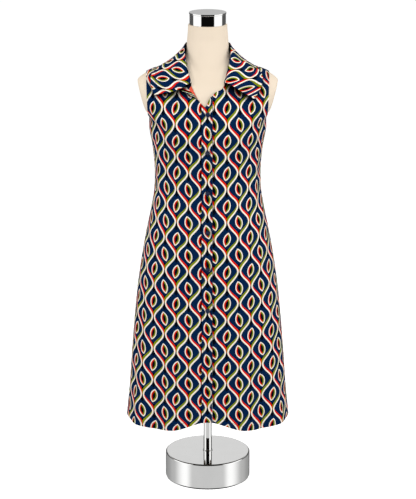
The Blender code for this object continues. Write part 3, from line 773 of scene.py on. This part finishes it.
def mesh_from(name, bm):
    """A mesh from a bmesh in metres."""
    mesh = bpy.data.meshes.new(name)
    bm.to_mesh(mesh)
    bm.free()
    return mesh


def in_scene(name, data):
    """An object of the scene with this mesh, lamp or camera."""
    thing = bpy.data.objects.new(name, data)
    bpy.context.scene.collection.objects.link(thing)
    return thing


def new_piece(name, bm, materials, replaced=()):
    """A finished piece: smooth, riding on the body, with its materials; the CAD parts it replaces are
    hidden.
    """
    piece = in_scene(name, mesh_from(name, bm))
    for material in materials:
        piece.data.materials.append(material)
    piece.data.shade_smooth()
    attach(piece, "root")
    if replaced:
        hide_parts(*replaced)
    return piece


def flat_cloth(points, anchor_column, anchor_u):
    """Each point's place on the flat cloth: along the weft from a column whose distance is
    known, and up the warp, both as lengths on the curved surface."""
    normals = unit(np.cross(np.gradient(points, axis=1), np.gradient(points, axis=0)))
    level = unit(np.cross((0.0, 0.0, 1.0), normals))
    rise = np.cross(normals, level)
    across = np.sum(np.diff(points, axis=1) * (level[:, 1:] + level[:, :-1]) / 2, axis=-1)
    up = np.sum(np.diff(points, axis=0) * (rise[1:] + rise[:-1]) / 2, axis=-1)
    u = running(across, 1)
    v = points[0, :, 2] + running(up, 0)
    return np.stack((u - u[:, [anchor_column]] + anchor_u, v), -1)


def grid(points, flat=None):
    """A bmesh grid laid on rows of points, with the cloth's flat places as its UV map."""
    rows, columns = points.shape[0] - 1, points.shape[1] - 1
    bm = bmesh.new()
    bmesh.ops.create_grid(bm, x_segments=columns, y_segments=rows, size=0.5)
    bm.verts.index_update()
    spots = points.reshape(-1, 3) * MM
    for vert in bm.verts:
        vert.co = spots[vert.index]
    if flat is not None:
        layer = bm.loops.layers.uv.new("cloth")
        places = flat.reshape(-1, 2) * MM
        for face in bm.faces:
            for loop in face.loops:
                loop[layer].uv = places[loop.vert.index]
    return bm


def cloth_piece(name, points, flat, replaced, materials=(COTTON, COTTON_BACK), mark=None):
    """A cloth piece: a wall on rows of points of its outer face, with round turned edges.
    mark can give faces another material, from their places in the grid."""
    bm = grid(points, flat)
    if mark is not None:
        for face, number in zip(bm.faces, mark):
            face.material_index = int(number)
    piece = new_piece(name, bm, materials, (replaced,))
    wall = piece.modifiers.new("wall", "SOLIDIFY")
    wall.thickness, wall.offset = WALL * MM, -1.0
    wall.material_offset = 1 if mark is None else 0
    edge = piece.modifiers.new("turned_edge", "BEVEL")
    edge.width, edge.segments = EDGE_ROUND * MM, 2
    edge.limit_method, edge.angle_limit = "ANGLE", math.radians(EDGE_SHARP)
    return piece


def sew(name, paths):
    """Topstitching: short thick threads along paths of points with their outward directions."""
    bm = bmesh.new()
    for points, normals in paths:
        lengths = running(np.linalg.norm(np.diff(points, axis=0), axis=1), 0)
        for start in np.arange(STITCH_STEP / 2, lengths[-1] - STITCH_LONG, STITCH_STEP):
            spot, ahead, out = (
                np.array([np.interp(at, lengths, values[:, k]) for k in range(3)])
                for at, values in ((start, points), (start + STITCH_LONG, points), (start, normals)))
            stitch(bm, spot, ahead, out, THREAD_RADIUS)
    return new_piece(name, bm, (NAVY_THREAD,))


def one_stitch():
    """A stitch of length 2 along X and radius 1, to be copied."""
    bm = bmesh.new()
    bmesh.ops.create_uvsphere(bm, u_segments=6, v_segments=5, radius=1.0,
                              matrix=Matrix.Rotation(math.pi / 2, 4, "Y"))
    return mesh_from("stitch", bm)


STITCH = one_stitch()


def stitch(bm, start, end, out, radius):
    """One thread from start to end, thick in its middle and partly sunk into the cloth."""
    start, end = Vector(start), Vector(end)
    along = (end - start).normalized()
    side = along.cross(Vector(out)).normalized()
    up = side.cross(along)
    middle = (start + end) / 2 + up * radius * THREAD_PROUD
    half = (end - start).length / 2 * THREAD_OVER
    turn = Matrix((along, side, up)).transposed().to_4x4()
    size = Matrix.Diagonal((half * MM, radius * MM, radius * MM, 1.0))
    place = Matrix.Translation(middle * MM) @ turn @ size
    thread = STITCH.copy()
    thread.transform(place)
    bm.from_mesh(thread)
    bpy.data.meshes.remove(thread)


def beside_edge(places, angles, distance):
    """A path at a distance beside an edge on the dress, to its left as seen from outside."""
    edge = body_point(places, angles)
    inward = unit(np.cross(normal_at(places, angles), np.gradient(edge, axis=0)))
    rise, turn = 0.01, 0.1      # a small step each way, in rings and in degrees
    by_place = (body_point(places + rise, angles) - body_point(places - rise, angles)) / (2 * rise)
    by_angle = (body_point(places, angles + turn) - body_point(places, angles - turn)) / (2 * turn)
    both = np.stack((by_place, by_angle), -1)
    square = np.einsum("nki,nkj->nij", both, both)
    wanted = np.einsum("nki,nk->ni", both, inward * distance)
    moved = np.linalg.solve(square, wanted[..., None])[..., 0]
    places = np.clip(places + moved[:, 0], NEAR_PLACE, NECK - NEAR_PLACE)
    angles = angles + moved[:, 1]
    return body_point(places, angles), normal_at(places, angles)


# ---------------------------------------------------------------- the dress

def between(start, end, columns):
    """The places and angles of a panel's points, in columns from one edge to the other."""
    share = np.linspace(0.0, 1.0, columns + 1)
    angles = start[:, None] + (end - start)[:, None] * share
    return np.broadcast_to(ROWS[:, None], angles.shape), angles


def panel(name, start, end, columns, anchor_column, anchor_u):
    """A front or the back, with small waves along its seams and a space at the side seams."""
    places, angles = between(start, end, columns)
    turned = np.abs(turn_between(angles, 0.0))
    points = body_point(places, angles)
    points += normal_at(places, angles) * pucker(points, (90.0 - turned) * DEGREE_MM)[..., None]
    facing = 1.0 if name == "back" else -1.0
    points[..., 1] = facing * np.maximum(facing * points[..., 1], SEAM_SIDE)
    return cloth_piece("cloth_" + name, points, flat_cloth(points, anchor_column, anchor_u), name)


def panels():
    """The back and the two fronts, each front from its band to the side seam."""
    beside_band = BAND_HALF + SEAM
    inner, outer = angle_at_x(ROWS, beside_band), outer_angle(ROWS)
    middle = BACK_COLUMNS // 2
    return {
        "front_right": panel("front_right", -outer, -inner, FRONT_COLUMNS, -1, -beside_band),
        "front_left": panel("front_left", inner, outer, FRONT_COLUMNS, 0, beside_band),
        "back": panel("back", 180.0 - outer, 180.0 + outer, BACK_COLUMNS, middle, LINE_SPACING / 2),
    }


def band(name, left_x, right_x, out, shift):
    """A straight band down the centre front; its print is shifted against the fronts."""
    ends = [np.sign(x) * angle_at_x(ROWS, x) for x in (left_x, right_x)]
    points = cloth_point(*between(*ends, BAND_COLUMNS), out)
    flat = flat_cloth(points, 0, left_x) + np.array(shift)
    return cloth_piece("cloth_" + name, points, flat, name)


def lapel():
    """The outer band's top, turned out along the neckline on the wearer's right. Its fold
    shows a plain coral edge."""
    edge = np.linspace(LAPEL_END, LAPEL_START, LAPEL_COLUMNS + 1)
    shows = smooth_step(edge, *CORAL_GROWS) * (1 - smooth_step(edge, *CORAL_ENDS))
    strip = CORAL_SHARE * (CORAL_LEAST + (1 - CORAL_LEAST) * shows)
    outer = steps_up_to(1.0, 0.0, LAPEL_ROWS)[:, None] ** LAPEL_ROW_POWER
    inner = np.linspace(1.0, 0.0, CORAL_ROWS + 1)[:, None] ** CORAL_ROW_POWER
    share = np.concatenate((strip + (1 - strip) * outer, strip * inner))
    widens = smooth_step(edge, LAPEL_START, LAPEL_END)
    width = LAPEL_TIP + (1 - LAPEL_TIP) * widens
    places = NECK - share * LAPEL_REACH * width
    rolled = np.clip(share / LAPEL_FOLD_SHARE, 0.0, 1.0)
    out = LAPEL_FOLD + (LAPEL_OUT - LAPEL_FOLD) * np.sqrt(1 - (1 - rolled) ** 2)
    angles = -edge - LAPEL_UNDER * share * widens
    points = cloth_point(places, angles, out + LAPEL_SPRING * width * share)
    flat = flat_cloth(cloth_point(places, angles, LAPEL_OUT), 0, 0.0) + np.array(LAPEL_SHIFT)
    coral = np.arange(LAPEL_ROWS + CORAL_ROWS) >= LAPEL_ROWS
    return cloth_piece("cloth_lapel", points, flat, "lapel_right", materials=(COTTON, CORAL),
                       mark=np.repeat(coral, LAPEL_COLUMNS))


def stand_height(angle):
    """How high the collar stands at an angle."""
    turn = np.abs(turn_between(angle, 0.0))
    rise, sink = smooth_step(turn, *STAND_RISES), smooth_step(turn, *STAND_SINKS)
    return STAND_END + (STAND_SIDE - STAND_END) * rise + (STAND_BACK - STAND_SIDE) * sink


def collar_face(run, angle):
    """The collar's face: run goes 0 to 1 up the stand, to 2 over the roll, to 3 down the leaf."""
    run, angle = paired(run, angle)
    from_back = (180.0 - angle) / (180.0 - COLLAR_END)
    sway = np.sign(from_back) * from_back ** 4
    off = normal_at(np.full_like(angle, NECK), angle)
    out = unit(off * np.array((1.0, 1.0, 0.0)))
    up = np.array((0.0, 0.0, 1.0))
    height = stand_height(angle)[..., None]
    foot = cloth_point(NECK, angle) + off * STAND_OFF
    top = foot + up * height - out * (STAND_LEAN * height / STAND_SIDE)
    stand = foot + (top - foot) * np.clip(run, 0.0, 1.0)[..., None]
    turn = np.pi * np.clip(run - 1.0, 0.0, 1.0)[..., None]
    roll = top + out * ROLL_RADIUS * (1 - np.cos(turn)) + up * ROLL_RADIUS * np.sin(turn)
    share = np.clip(run - 2.0, 0.0, 1.0)
    turned = np.abs(turn_between(angle, 0.0))
    spring = 1.0 - smooth_step(turned, COLLAR_END, LEAF_SPRING_END)
    rest = LEAF_REST + LEAF_SPRING * spring
    hang = top + out * ROLL_RADIUS * 2 - cloth_point(NECK, angle, rest)
    on_left = angle < 180.0
    point, bow, arch_high = (np.where(on_left, *pair) for pair in (LEAF_POINT, LEAF_BOW, LEAF_ARCH))
    bent = angle + sway * (point * share - bow * np.sin(np.pi * share))
    steps = np.interp(turned, LEAF_ANGLES, np.arange(len(LEAF_ANGLES)))
    reach = np.where(on_left, *(spline(places, steps) for places in LEAF_PLACES))
    place = NECK + (reach - NECK) * share
    wave = sum(depth * bell(turn_between(angle, middle), wide) for middle, wide, depth in LEAF_WAVES)
    wave = np.maximum(wave * share ** 2, LEAF_WAVE_LEAST)
    arch = arch_high * np.sin(np.pi * share ** 0.6) * spring ** 2
    leaf = cloth_point(place, bent, rest + wave + arch)
    leaf += hang * ((1.0 - share) ** LEAF_DROP)[..., None]
    return np.where((run <= 1.0)[..., None], stand, np.where((run <= 2.0)[..., None], roll, leaf))


def collar():
    """The collar, its print turned to run along its length."""
    runs = [steps_up_to(3.0 - k, 2.0 - k, count) for k, count in enumerate(COLLAR_ROWS)]
    runs = np.concatenate(runs + [[0.0]])
    angles = np.linspace(COLLAR_END, 360.0 - COLLAR_END, COLLAR_COLUMNS + 1)
    points = collar_face(runs[:, None], angles[None, :])
    across, down = (np.linalg.norm(np.diff(points, axis=axis), axis=-1) for axis in (1, 0))
    along = running(across, 1)
    along -= along[:, [COLLAR_COLUMNS // 2]]
    up = running(down, 0) + COLLAR_PRINT_UP
    return cloth_piece("cloth_collar", points, np.stack((along, up), -1), "collar", (COTTON, COTTON))


def topstitching():
    """The rows of stitches on each panel and on the outer band, one piece of thread work each."""
    skirt = np.linspace(0.1, NECK - 0.1, PATH_POINTS)
    rows = [np.sign(x) * angle_at_x(skirt, x) for x in
            (-BAND_HALF - BAND_LAP + EDGE_STITCH, BAND_HALF - EDGE_STITCH)]
    made = {"band_right": [(cloth_point(skirt, row, LAP), normal_at(skirt, row)) for row in rows]}
    share = (1 - np.cos(np.linspace(0.25, math.pi - 0.2, 200))) / 2     # up the armhole
    arm = UNDERARM + (TIP - UNDERARM) * share
    cut = outer_angle(arm)
    low = float(angle_at_x(0.0, BAND_HALF + 1.0))
    left, right = 90.0 + SEAM_STITCH, 270.0 - SEAM_STITCH
    hems = {"front_left": (low, 180.0 - left), "front_right": (left - 180.0, -low - 1.0),
            "back": (left, right)}
    for name, ends in hems.items():
        hem = np.linspace(*ends, PATH_POINTS)
        made[name] = [beside_edge(np.full_like(hem, NEAR_PLACE), hem, HEM_STITCH)]
    made["front_left"].append(beside_edge(arm, cut, EDGE_STITCH))
    made["front_right"].append(beside_edge(arm[::-1], -cut[::-1], EDGE_STITCH))
    made["back"] += [beside_edge(arm[::-1], 180.0 - cut[::-1], EDGE_STITCH),
                     beside_edge(arm, 180.0 + cut, EDGE_STITCH)]
    return {name: [sew("stitches_" + name, paths)] for name, paths in made.items()}


def collar_stitching():
    """Topstitching round the collar's leaf, inside its front and outer edges."""
    low, left = 3.0 - LEAF_STITCH, COLLAR_END + LEAF_STITCH_TURN
    corners = ((LEAF_STITCH_TOP, left), (low, left), (low, 360.0 - left), (LEAF_STITCH_TOP, 360.0 - left))
    sides = [np.linspace(start, end, count) for start, end, count in
             zip(corners, corners[1:], (60, PATH_POINTS, 60))]
    runs, angles = np.concatenate(sides).T
    points = collar_face(runs, angles)
    step, turn = 0.02, 0.5      # a small step each way, along the run and in degrees
    across = collar_face(runs, angles + turn) - collar_face(runs, angles - turn)
    down = collar_face(runs + step, angles) - collar_face(runs - step, angles)
    return sew("stitches_collar", [(points, unit(np.cross(down, across)))])


def buttonholes(spots):
    """A whipped slit under each button: close stitches down both sides and a bar at each end."""
    bm = bmesh.new()
    for place_z in spots:
        heights = np.arange(-BUTTONHOLE_LONG / 2, BUTTONHOLE_LONG / 2, WHIP_STEP)
        places = np.array([place_at_height(place_z - BUTTONHOLE_LOW + rise) for rise in heights])
        for side in (-1, 1):
            ends = [cloth_point(places, side * angle_at_x(places, x), LAP + WHIP_HIGH) for x in
                    (WHIP_INNER, BUTTONHOLE_WIDE / 2)]
            out = normal_at(places, np.zeros_like(places))
            for start, end, normal in zip(*ends, out):
                stitch(bm, start, end, normal, WHIP_RADIUS)
        for k in (0, -1):
            turn = angle_at_x(places[k], BUTTONHOLE_WIDE / 2)
            ends = [cloth_point(places[k], side * turn, LAP + BAR_HIGH) for side in (-1, 1)]
            stitch(bm, *ends, out[k], BAR_RADIUS)
    return new_piece("buttonhole_stitches", bm, (NAVY_THREAD,))


# ---------------------------------------------------------------- buttons, form and stand

def close(bm):
    """Merges a turned shape's seam and poles and points its faces outwards."""
    bmesh.ops.remove_doubles(bm, verts=bm.verts, dist=1e-6)
    bmesh.ops.recalc_face_normals(bm, faces=bm.faces)


def spun(profile, segments):
    """A bmesh turned about the upright axis from a profile of radius and height, in mm."""
    bm = bmesh.new()
    verts = [bm.verts.new((radius * MM, 0.0, z * MM)) for radius, z in profile]
    edges = [bm.edges.new(pair) for pair in zip(verts, verts[1:])]
    bmesh.ops.spin(bm, geom=verts + edges, cent=(0, 0, 0), axis=(0, 0, 1),
                   angle=2 * math.pi, steps=segments, use_merge=True, use_duplicate=False)
    close(bm)
    return bm


def button_mesh():
    """One four-hole button lying on the origin, rim up."""
    face = [(BUTTON_RADIUS - inward, height) for inward, height in BUTTON_PROFILE]
    profile = [(0.0, 0.0), *face, (0.0, BUTTON_MIDDLE)]
    button = new_piece("button_blank", spun(profile, BUTTON_SIDES), (RESIN,))
    holes = bmesh.new()
    for x in (-1, 1):
        for y in (-1, 1):
            place = Vector((x, y, 0.0)) * BUTTON_HOLE_OFF * MM
            bmesh.ops.create_cone(holes, cap_ends=True, segments=HOLE_SIDES, radius1=BUTTON_HOLE * MM,
                                  radius2=BUTTON_HOLE * MM, depth=12 * MM,
                                  matrix=Matrix.Translation(place))
    cutter = new_piece("button_cutter", holes, (RESIN,))
    cut = button.modifiers.new("holes", "BOOLEAN")
    cut.operation, cut.solver, cut.object = "DIFFERENCE", "EXACT", cutter
    depsgraph = bpy.context.evaluated_depsgraph_get()
    mesh = bpy.data.meshes.new_from_object(button.evaluated_get(depsgraph))
    for old in (button, cutter):
        bpy.data.objects.remove(old, do_unlink=True)
    return mesh


def buttons():
    """The six buttons, each turned a little differently, and the thread through their holes."""
    blank = button_mesh()
    threads = bmesh.new()
    made = []
    for number, height in enumerate(BUTTON_HEIGHTS, start=1):
        place = place_at_height(height)
        out = Vector(normal_at(place, 0.0))
        turn = out.to_track_quat("Z", "Y").to_matrix().to_4x4()
        twist = Matrix.Rotation(math.radians((number * 37) % 21 - 10), 4, "Z")
        spot = Matrix.Translation(Vector(cloth_point(place, 0.0, LAP + BUTTON_OFF)) * MM) @ turn @ twist
        bm = bmesh.new()
        bm.from_mesh(blank)
        bm.transform(spot)
        name = "button_%d" % number
        piece = new_piece("resin_" + name, bm, (RESIN,), (name,))
        piece.data.set_sharp_from_angle(angle=math.radians(35))
        made.append(piece)
        for x in (-1, 1):
            for strand in STRANDS:
                ends = [spot @ (Vector((x * BUTTON_HOLE_OFF + strand, y, STRAND_HIGH)) * MM) / MM
                        for y in (-STRAND_HALF, STRAND_HALF)]
                stitch(threads, *ends, out, BUTTON_THREAD)
    made.append(new_piece("button_threads", threads, (NAVY_THREAD,)))
    return made


def soft_limit(value, limit, softness):
    """The value, held under a limit with a soft corner."""
    return limit - softness * np.logaddexp(0.0, (limit - value) / softness)


def form_rows():
    """The form's rings from its socket up to its top, as rows of points."""
    angles = np.linspace(0.0, 360.0, FORM_COLUMNS + 1)
    steps = np.linspace(0, NECK, 3000)
    lowest = float(np.interp(FORM_BOTTOM + FORM_EDGE, spline(TABLE["side_z"], steps), steps))
    stops = (lowest, UNDERARM, TIP, NECK)
    places = [steps_up_to(*stretch) for stretch in zip(stops, stops[1:], FORM_ROWS)]
    places = np.concatenate(places + [[NECK]])
    inward = WALL + ring_at(places)["gap"]
    grid_places, grid_angles = np.broadcast_arrays(places[:, None], angles[None, :])
    normals = normal_at(grid_places, grid_angles, bare_point)
    body = bare_point(grid_places, grid_angles) - normals * inward[:, None, None]
    known = [body[np.abs(places - k).argmin()] for k in range(TIP, NECK + 1)]
    known += [ring_point(dict(zip(NECK_COLUMNS, row)), angles) for row in NECK_RINGS]
    steps = np.linspace(NECK - TIP, len(known) - 1, FORM_ROWS[-1] + 1)[1:]
    neck = spline(np.array(known), steps)
    rows = np.concatenate((body, neck))
    lean = (STUB_TOP[0] - STUB_FOOT[0]) / (STUB_TOP[1] - STUB_FOOT[1])
    limit = STUB_FOOT[0] + lean * (rows[..., 2] - STUB_FOOT[1])
    rows[..., 0] = np.sign(rows[..., 0]) * soft_limit(np.abs(rows[..., 0]), limit, STUB_ROUND)
    return rows


def form_torso():
    """The form's shell, closed at both ends, with a socket for the pole."""
    rows = form_rows()
    flat, up = np.array((1.0, 1.0, 0.0)), np.array((0.0, 0.0, 1.0))
    wall = radial(np.linspace(0.0, 360.0, FORM_COLUMNS + 1)) * (POLE_RADIUS + FIT)
    bottom, top = rows[0] * flat, rows[-1] * flat
    socket_top = up * (FORM_BOTTOM + SOCKET_DEPTH)
    (wide, narrow), (share, rise) = FORM_HALVES, FORM_LOW_EDGE
    low = [wall * 0.0 + socket_top, wall + socket_top, wall + up * FORM_BOTTOM,
           bottom * (1 - FORM_EDGE / wide) + up * FORM_BOTTOM, bottom * share + up * (FORM_BOTTOM + rise)]
    rows[-1, :, 2] -= FORM_EDGE
    high = [top * (1 - share * FORM_EDGE / narrow) + up * (FORM_TOP - FORM_EDGE * (1 - math.sin(turn)))
            for share, turn in FORM_TOP_EDGE]
    high.append(top * 0.0 + up * FORM_TOP)
    bm = grid(np.concatenate((np.array(low), rows, np.array(high))))
    close(bm)
    return new_piece("shell_torso", bm, (PAINT,), ("form_torso",))


def rounded(profile, radius, steps=4):
    """A profile with its inner corners made round, and a narrow flat strip beside each, so
    that the flats stay flat in the shading."""
    made = [Vector(profile[0])]
    for before, here, after in zip(profile, profile[1:], profile[2:]):
        here = Vector(here)
        back = (Vector(before) - here).normalized() * radius
        ahead = (Vector(after) - here).normalized() * radius
        made.append(here + back * FLAT_STRIP)
        for k in range(steps + 1):
            share = k / steps
            made.append(here + back * (1 - share) ** 2 + ahead * share ** 2)
        made.append(here + ahead * FLAT_STRIP)
    return made + [Vector(profile[-1])]


def turned_chrome(node, profile):
    """A chrome part of the stand, turned from its profile."""
    new_piece("chrome_" + node, spun(profile, SIDES[node]), (CHROME,), (node,))


def stand():
    """The cap on the form's neck, the pole with its washer, and the base with its socket."""
    under, lip = FORM_TOP + FIT, CAP_TOP - CAP_EDGE
    cap = rounded(((0.0, under), (CAP_RADIUS, under), (CAP_RADIUS, lip), (CAP_LIP, lip + STEP),
                   (CAP_LIP, CAP_TOP), (0.0, CAP_TOP)), CORNERS["cap"])
    turned_chrome("neck_cap", cap)
    deck, half = BASE_HEIGHT, BASE_HEIGHT / 2
    low, high = deck - BASE_SOCKET + FIT, FORM_BOTTOM + SOCKET_DEPTH - FIT
    ring, thick = POLE_WASHER
    pole = rounded(((0.0, low), (POLE_RADIUS, low), (POLE_RADIUS, deck + SEAT), (ring, deck + SEAT),
                    (ring, deck + thick), (POLE_RADIUS, deck + thick + STEP), (POLE_RADIUS, high),
                    (0.0, high)), CORNERS["pole"], 2)
    turned_chrome("pole", pole)
    socket, floor = POLE_RADIUS + FIT, deck - BASE_SOCKET
    inset, rise = BASE_FOOT
    drum = rounded(((0.0, 0.0), (BASE_RADIUS - inset, 0.0), (BASE_RADIUS, rise), (BASE_RADIUS, half)),
                   CORNERS["foot"], 1)
    drum += rounded(((BASE_RADIUS, half), (BASE_RADIUS, deck), (BASE_RING, deck)), BASE_BEVEL, 1)[1:]
    drum += rounded(((BASE_RING, deck), (socket, deck), (socket, floor), (0.0, floor)),
                    CORNERS["socket"], 2)[1:]
    turned_chrome("base", drum)


# ---------------------------------------------------------------- studio

CAMERA_BACK = 5347.0
CAMERA_UP = 2127.0
CAMERA_DOWN = 15.65     # degrees
CAMERA_LENS = 153.06
CAMERA_SHIFT = 0.0006
AMBIENT = 0.44          # the pale surroundings as they light the dress,
BACKDROP = 0.98         # and as the camera sees them
FLOOR_GLOW = 0.61
LAMPS = {               # place and size in metres, power
    "top": ((0.5, -1.3, 4.4), 1.1, 36),
    "front": ((0.3, -4.8, 0.5), 1.6, 24),
    "front_left": ((-3, -3.1, 2.5), 1.4, 48),
    "front_right": ((3, -3.1, 2.5), 1.4, 50),
    "side_left": ((-3.2, -0.8, 1.5), 1.8, 32),
    "side_right": ((3.2, -0.8, 1.5), 1.8, 30),
}
LAMP_AIM = (0.0, 0.0, 0.75)
FLOOR_HALF = 30.0       # metres, as the card's radius
CARD_RADIUS = 4.0
# What the chrome mirrors: from a height on the card up, how soft that edge is, and then
# pairs of degrees off the front and brightness
SURROUND = (
    (-9, 1, ((0, 0.02), (180, 0.02))),
    (-2.9, 0.2, ((0, 0.69), (40, 0.71), (62, 1.25), (66, 1.25), (108, 0.56), (140, 0.38), (150, 0.34),
                 (164, 0.12), (180, 0.1))),
    (-0.3, 0.5, ((0, 0.004), (40, 0.004), (44, 1.3), (100, 1.3), (106, 0.1), (180, 0.12))),
    (1.1, 0.15, ((0, 0.004), (45, 0.004), (49, 1.5), (100, 1.5), (106, 0.04), (168, 0.04), (173, 0.8),
                 (180, 0.8))),
    (1.74, 0.04, ((0, 0.006), (40, 0.006), (44, 1.3), (100, 1.3), (106, 0.56), (180, 0.56))),
    (2.5, 0.2, ((0, 0.01), (85, 0.01), (115, 0.5), (180, 0.5))),
)


def camera():
    """The photo's view of the dress."""
    data = bpy.data.cameras.new("photo_camera")
    data.lens, data.shift_x = CAMERA_LENS, CAMERA_SHIFT
    eye = in_scene("photo_camera", data)
    eye.location = (0.0, -CAMERA_BACK * MM, CAMERA_UP * MM)
    eye.rotation_euler = (math.radians(90.0 - CAMERA_DOWN), 0.0, 0.0)
    bpy.context.scene.camera = eye


def area_light(name, place, size, power):
    """A soft round lamp aimed at the middle of the dress."""
    data = bpy.data.lights.new(name, "AREA")
    data.shape, data.size, data.energy = "DISK", size, power
    lamp = in_scene(name, data)
    lamp.location = place
    lamp.rotation_euler = (Vector(LAMP_AIM) - Vector(place)).to_track_quat("-Z", "Y").to_euler()
    lamp.visible_glossy = False


def by_azimuth(tree, turn, stops):
    """Brightness from the angle off the front, the same on both sides."""
    level = stops[0][1]
    for (low, dark), (high, bright) in zip(stops, stops[1:]):
        step = add(tree, "MapRange", {"Value": turn, "From Min": math.radians(low),
                                      "From Max": math.radians(high), "To Max": bright - dark},
                   interpolation_type="SMOOTHSTEP")
        level = add(tree, "Math", (level, step), operation="ADD")
    return level


def card_paper():
    """Studio card that glows in zones, by height and by the angle off the front."""
    paper = bpy.data.materials.new("gloss_card_paper")
    paper.use_nodes = True
    tree = paper.node_tree
    tree.nodes.clear()
    place = add(tree, "TexCoord", out=3)
    x, y, z = (add(tree, "SeparateXYZ", (place,), out=k) for k in range(3))
    aside = add(tree, "Math", (x,), operation="ABSOLUTE")
    ahead = add(tree, "Math", (y, -1.0), operation="MULTIPLY")
    turn = add(tree, "Math", (aside, ahead), operation="ARCTAN2")
    level = 0.0
    for height, soft, stops in SURROUND:
        above = add(tree, "MapRange", {"Value": z, "From Min": height - soft, "From Max": height + soft})
        here = by_azimuth(tree, turn, stops)
        level = add(tree, "Mix", {0: above, 2: level, 3: here}, data_type="FLOAT")
    glow = add(tree, "Emission", {"Strength": level})
    add(tree, "OutputMaterial", {"Surface": glow})
    return paper


def surround():
    """A round studio card that only glossy surfaces see."""
    bm = bmesh.new()
    bmesh.ops.create_uvsphere(bm, u_segments=64, v_segments=32, radius=CARD_RADIUS)
    card = in_scene("gloss_card", mesh_from("gloss_card", bm))
    card.data.materials.append(card_paper())
    for ray in ("camera", "diffuse", "transmission", "volume_scatter", "shadow"):
        setattr(card, "visible_" + ray, False)


def paper_floor():
    """Pale matt paper, lit so that it fades into the backdrop."""
    bm = bmesh.new()
    bmesh.ops.create_grid(bm, x_segments=1, y_segments=1, size=FLOOR_HALF)
    floor = in_scene("floor", mesh_from("floor", bm))
    paper, _ = new_material("pale_paper", Base_Color=(0.86, 0.86, 0.86, 1.0), Roughness=0.9,
                            Specular_IOR_Level=0.0, Emission_Color=(1.0,) * 4,
                            Emission_Strength=FLOOR_GLOW)
    floor.data.materials.append(paper)
    floor.visible_glossy = False
    floor.visible_diffuse = False


def studio():
    """A pale backdrop that lights the dress less than the camera sees of it, and soft lamps."""
    scene = bpy.context.scene
    scene.view_settings.view_transform = "Standard"
    scene.world = bpy.data.worlds.new("pale_studio")
    scene.world.use_nodes = True
    tree = scene.world.node_tree
    tree.nodes.clear()
    seen = add(tree, "LightPath")
    strength = add(tree, "MapRange", {"Value": seen, "To Min": AMBIENT, "To Max": BACKDROP})
    sky = add(tree, "Background", {"Color": (1.0,) * 4, "Strength": strength})
    add(tree, "OutputWorld", {"Surface": sky})
    for name, values in LAMPS.items():
        area_light(name, *values)
    paper_floor()
    surround()


# ---------------------------------------------------------------- all of it

def main():
    """Builds the camera, the studio, the dress, its form and the stand."""
    camera()
    studio()
    cloth = panels()
    cloth["band_left"] = band("band_left", -BAND_HALF + SEAM, BAND_HALF, 0.0, UNDER_BAND_SHIFT)
    cloth["band_right"] = band("band_right", -BAND_HALF - BAND_LAP, BAND_HALF, LAP, OUTER_BAND_SHIFT)
    cloth["lapel"] = lapel()
    cloth["collar"] = collar()
    on_it = topstitching()
    on_it["collar"] = [collar_stitching()]
    on_it["band_right"].append(buttonholes(BUTTON_HEIGHTS))
    on_it["band_left"] = buttons()
    form_torso()
    stand()


main()
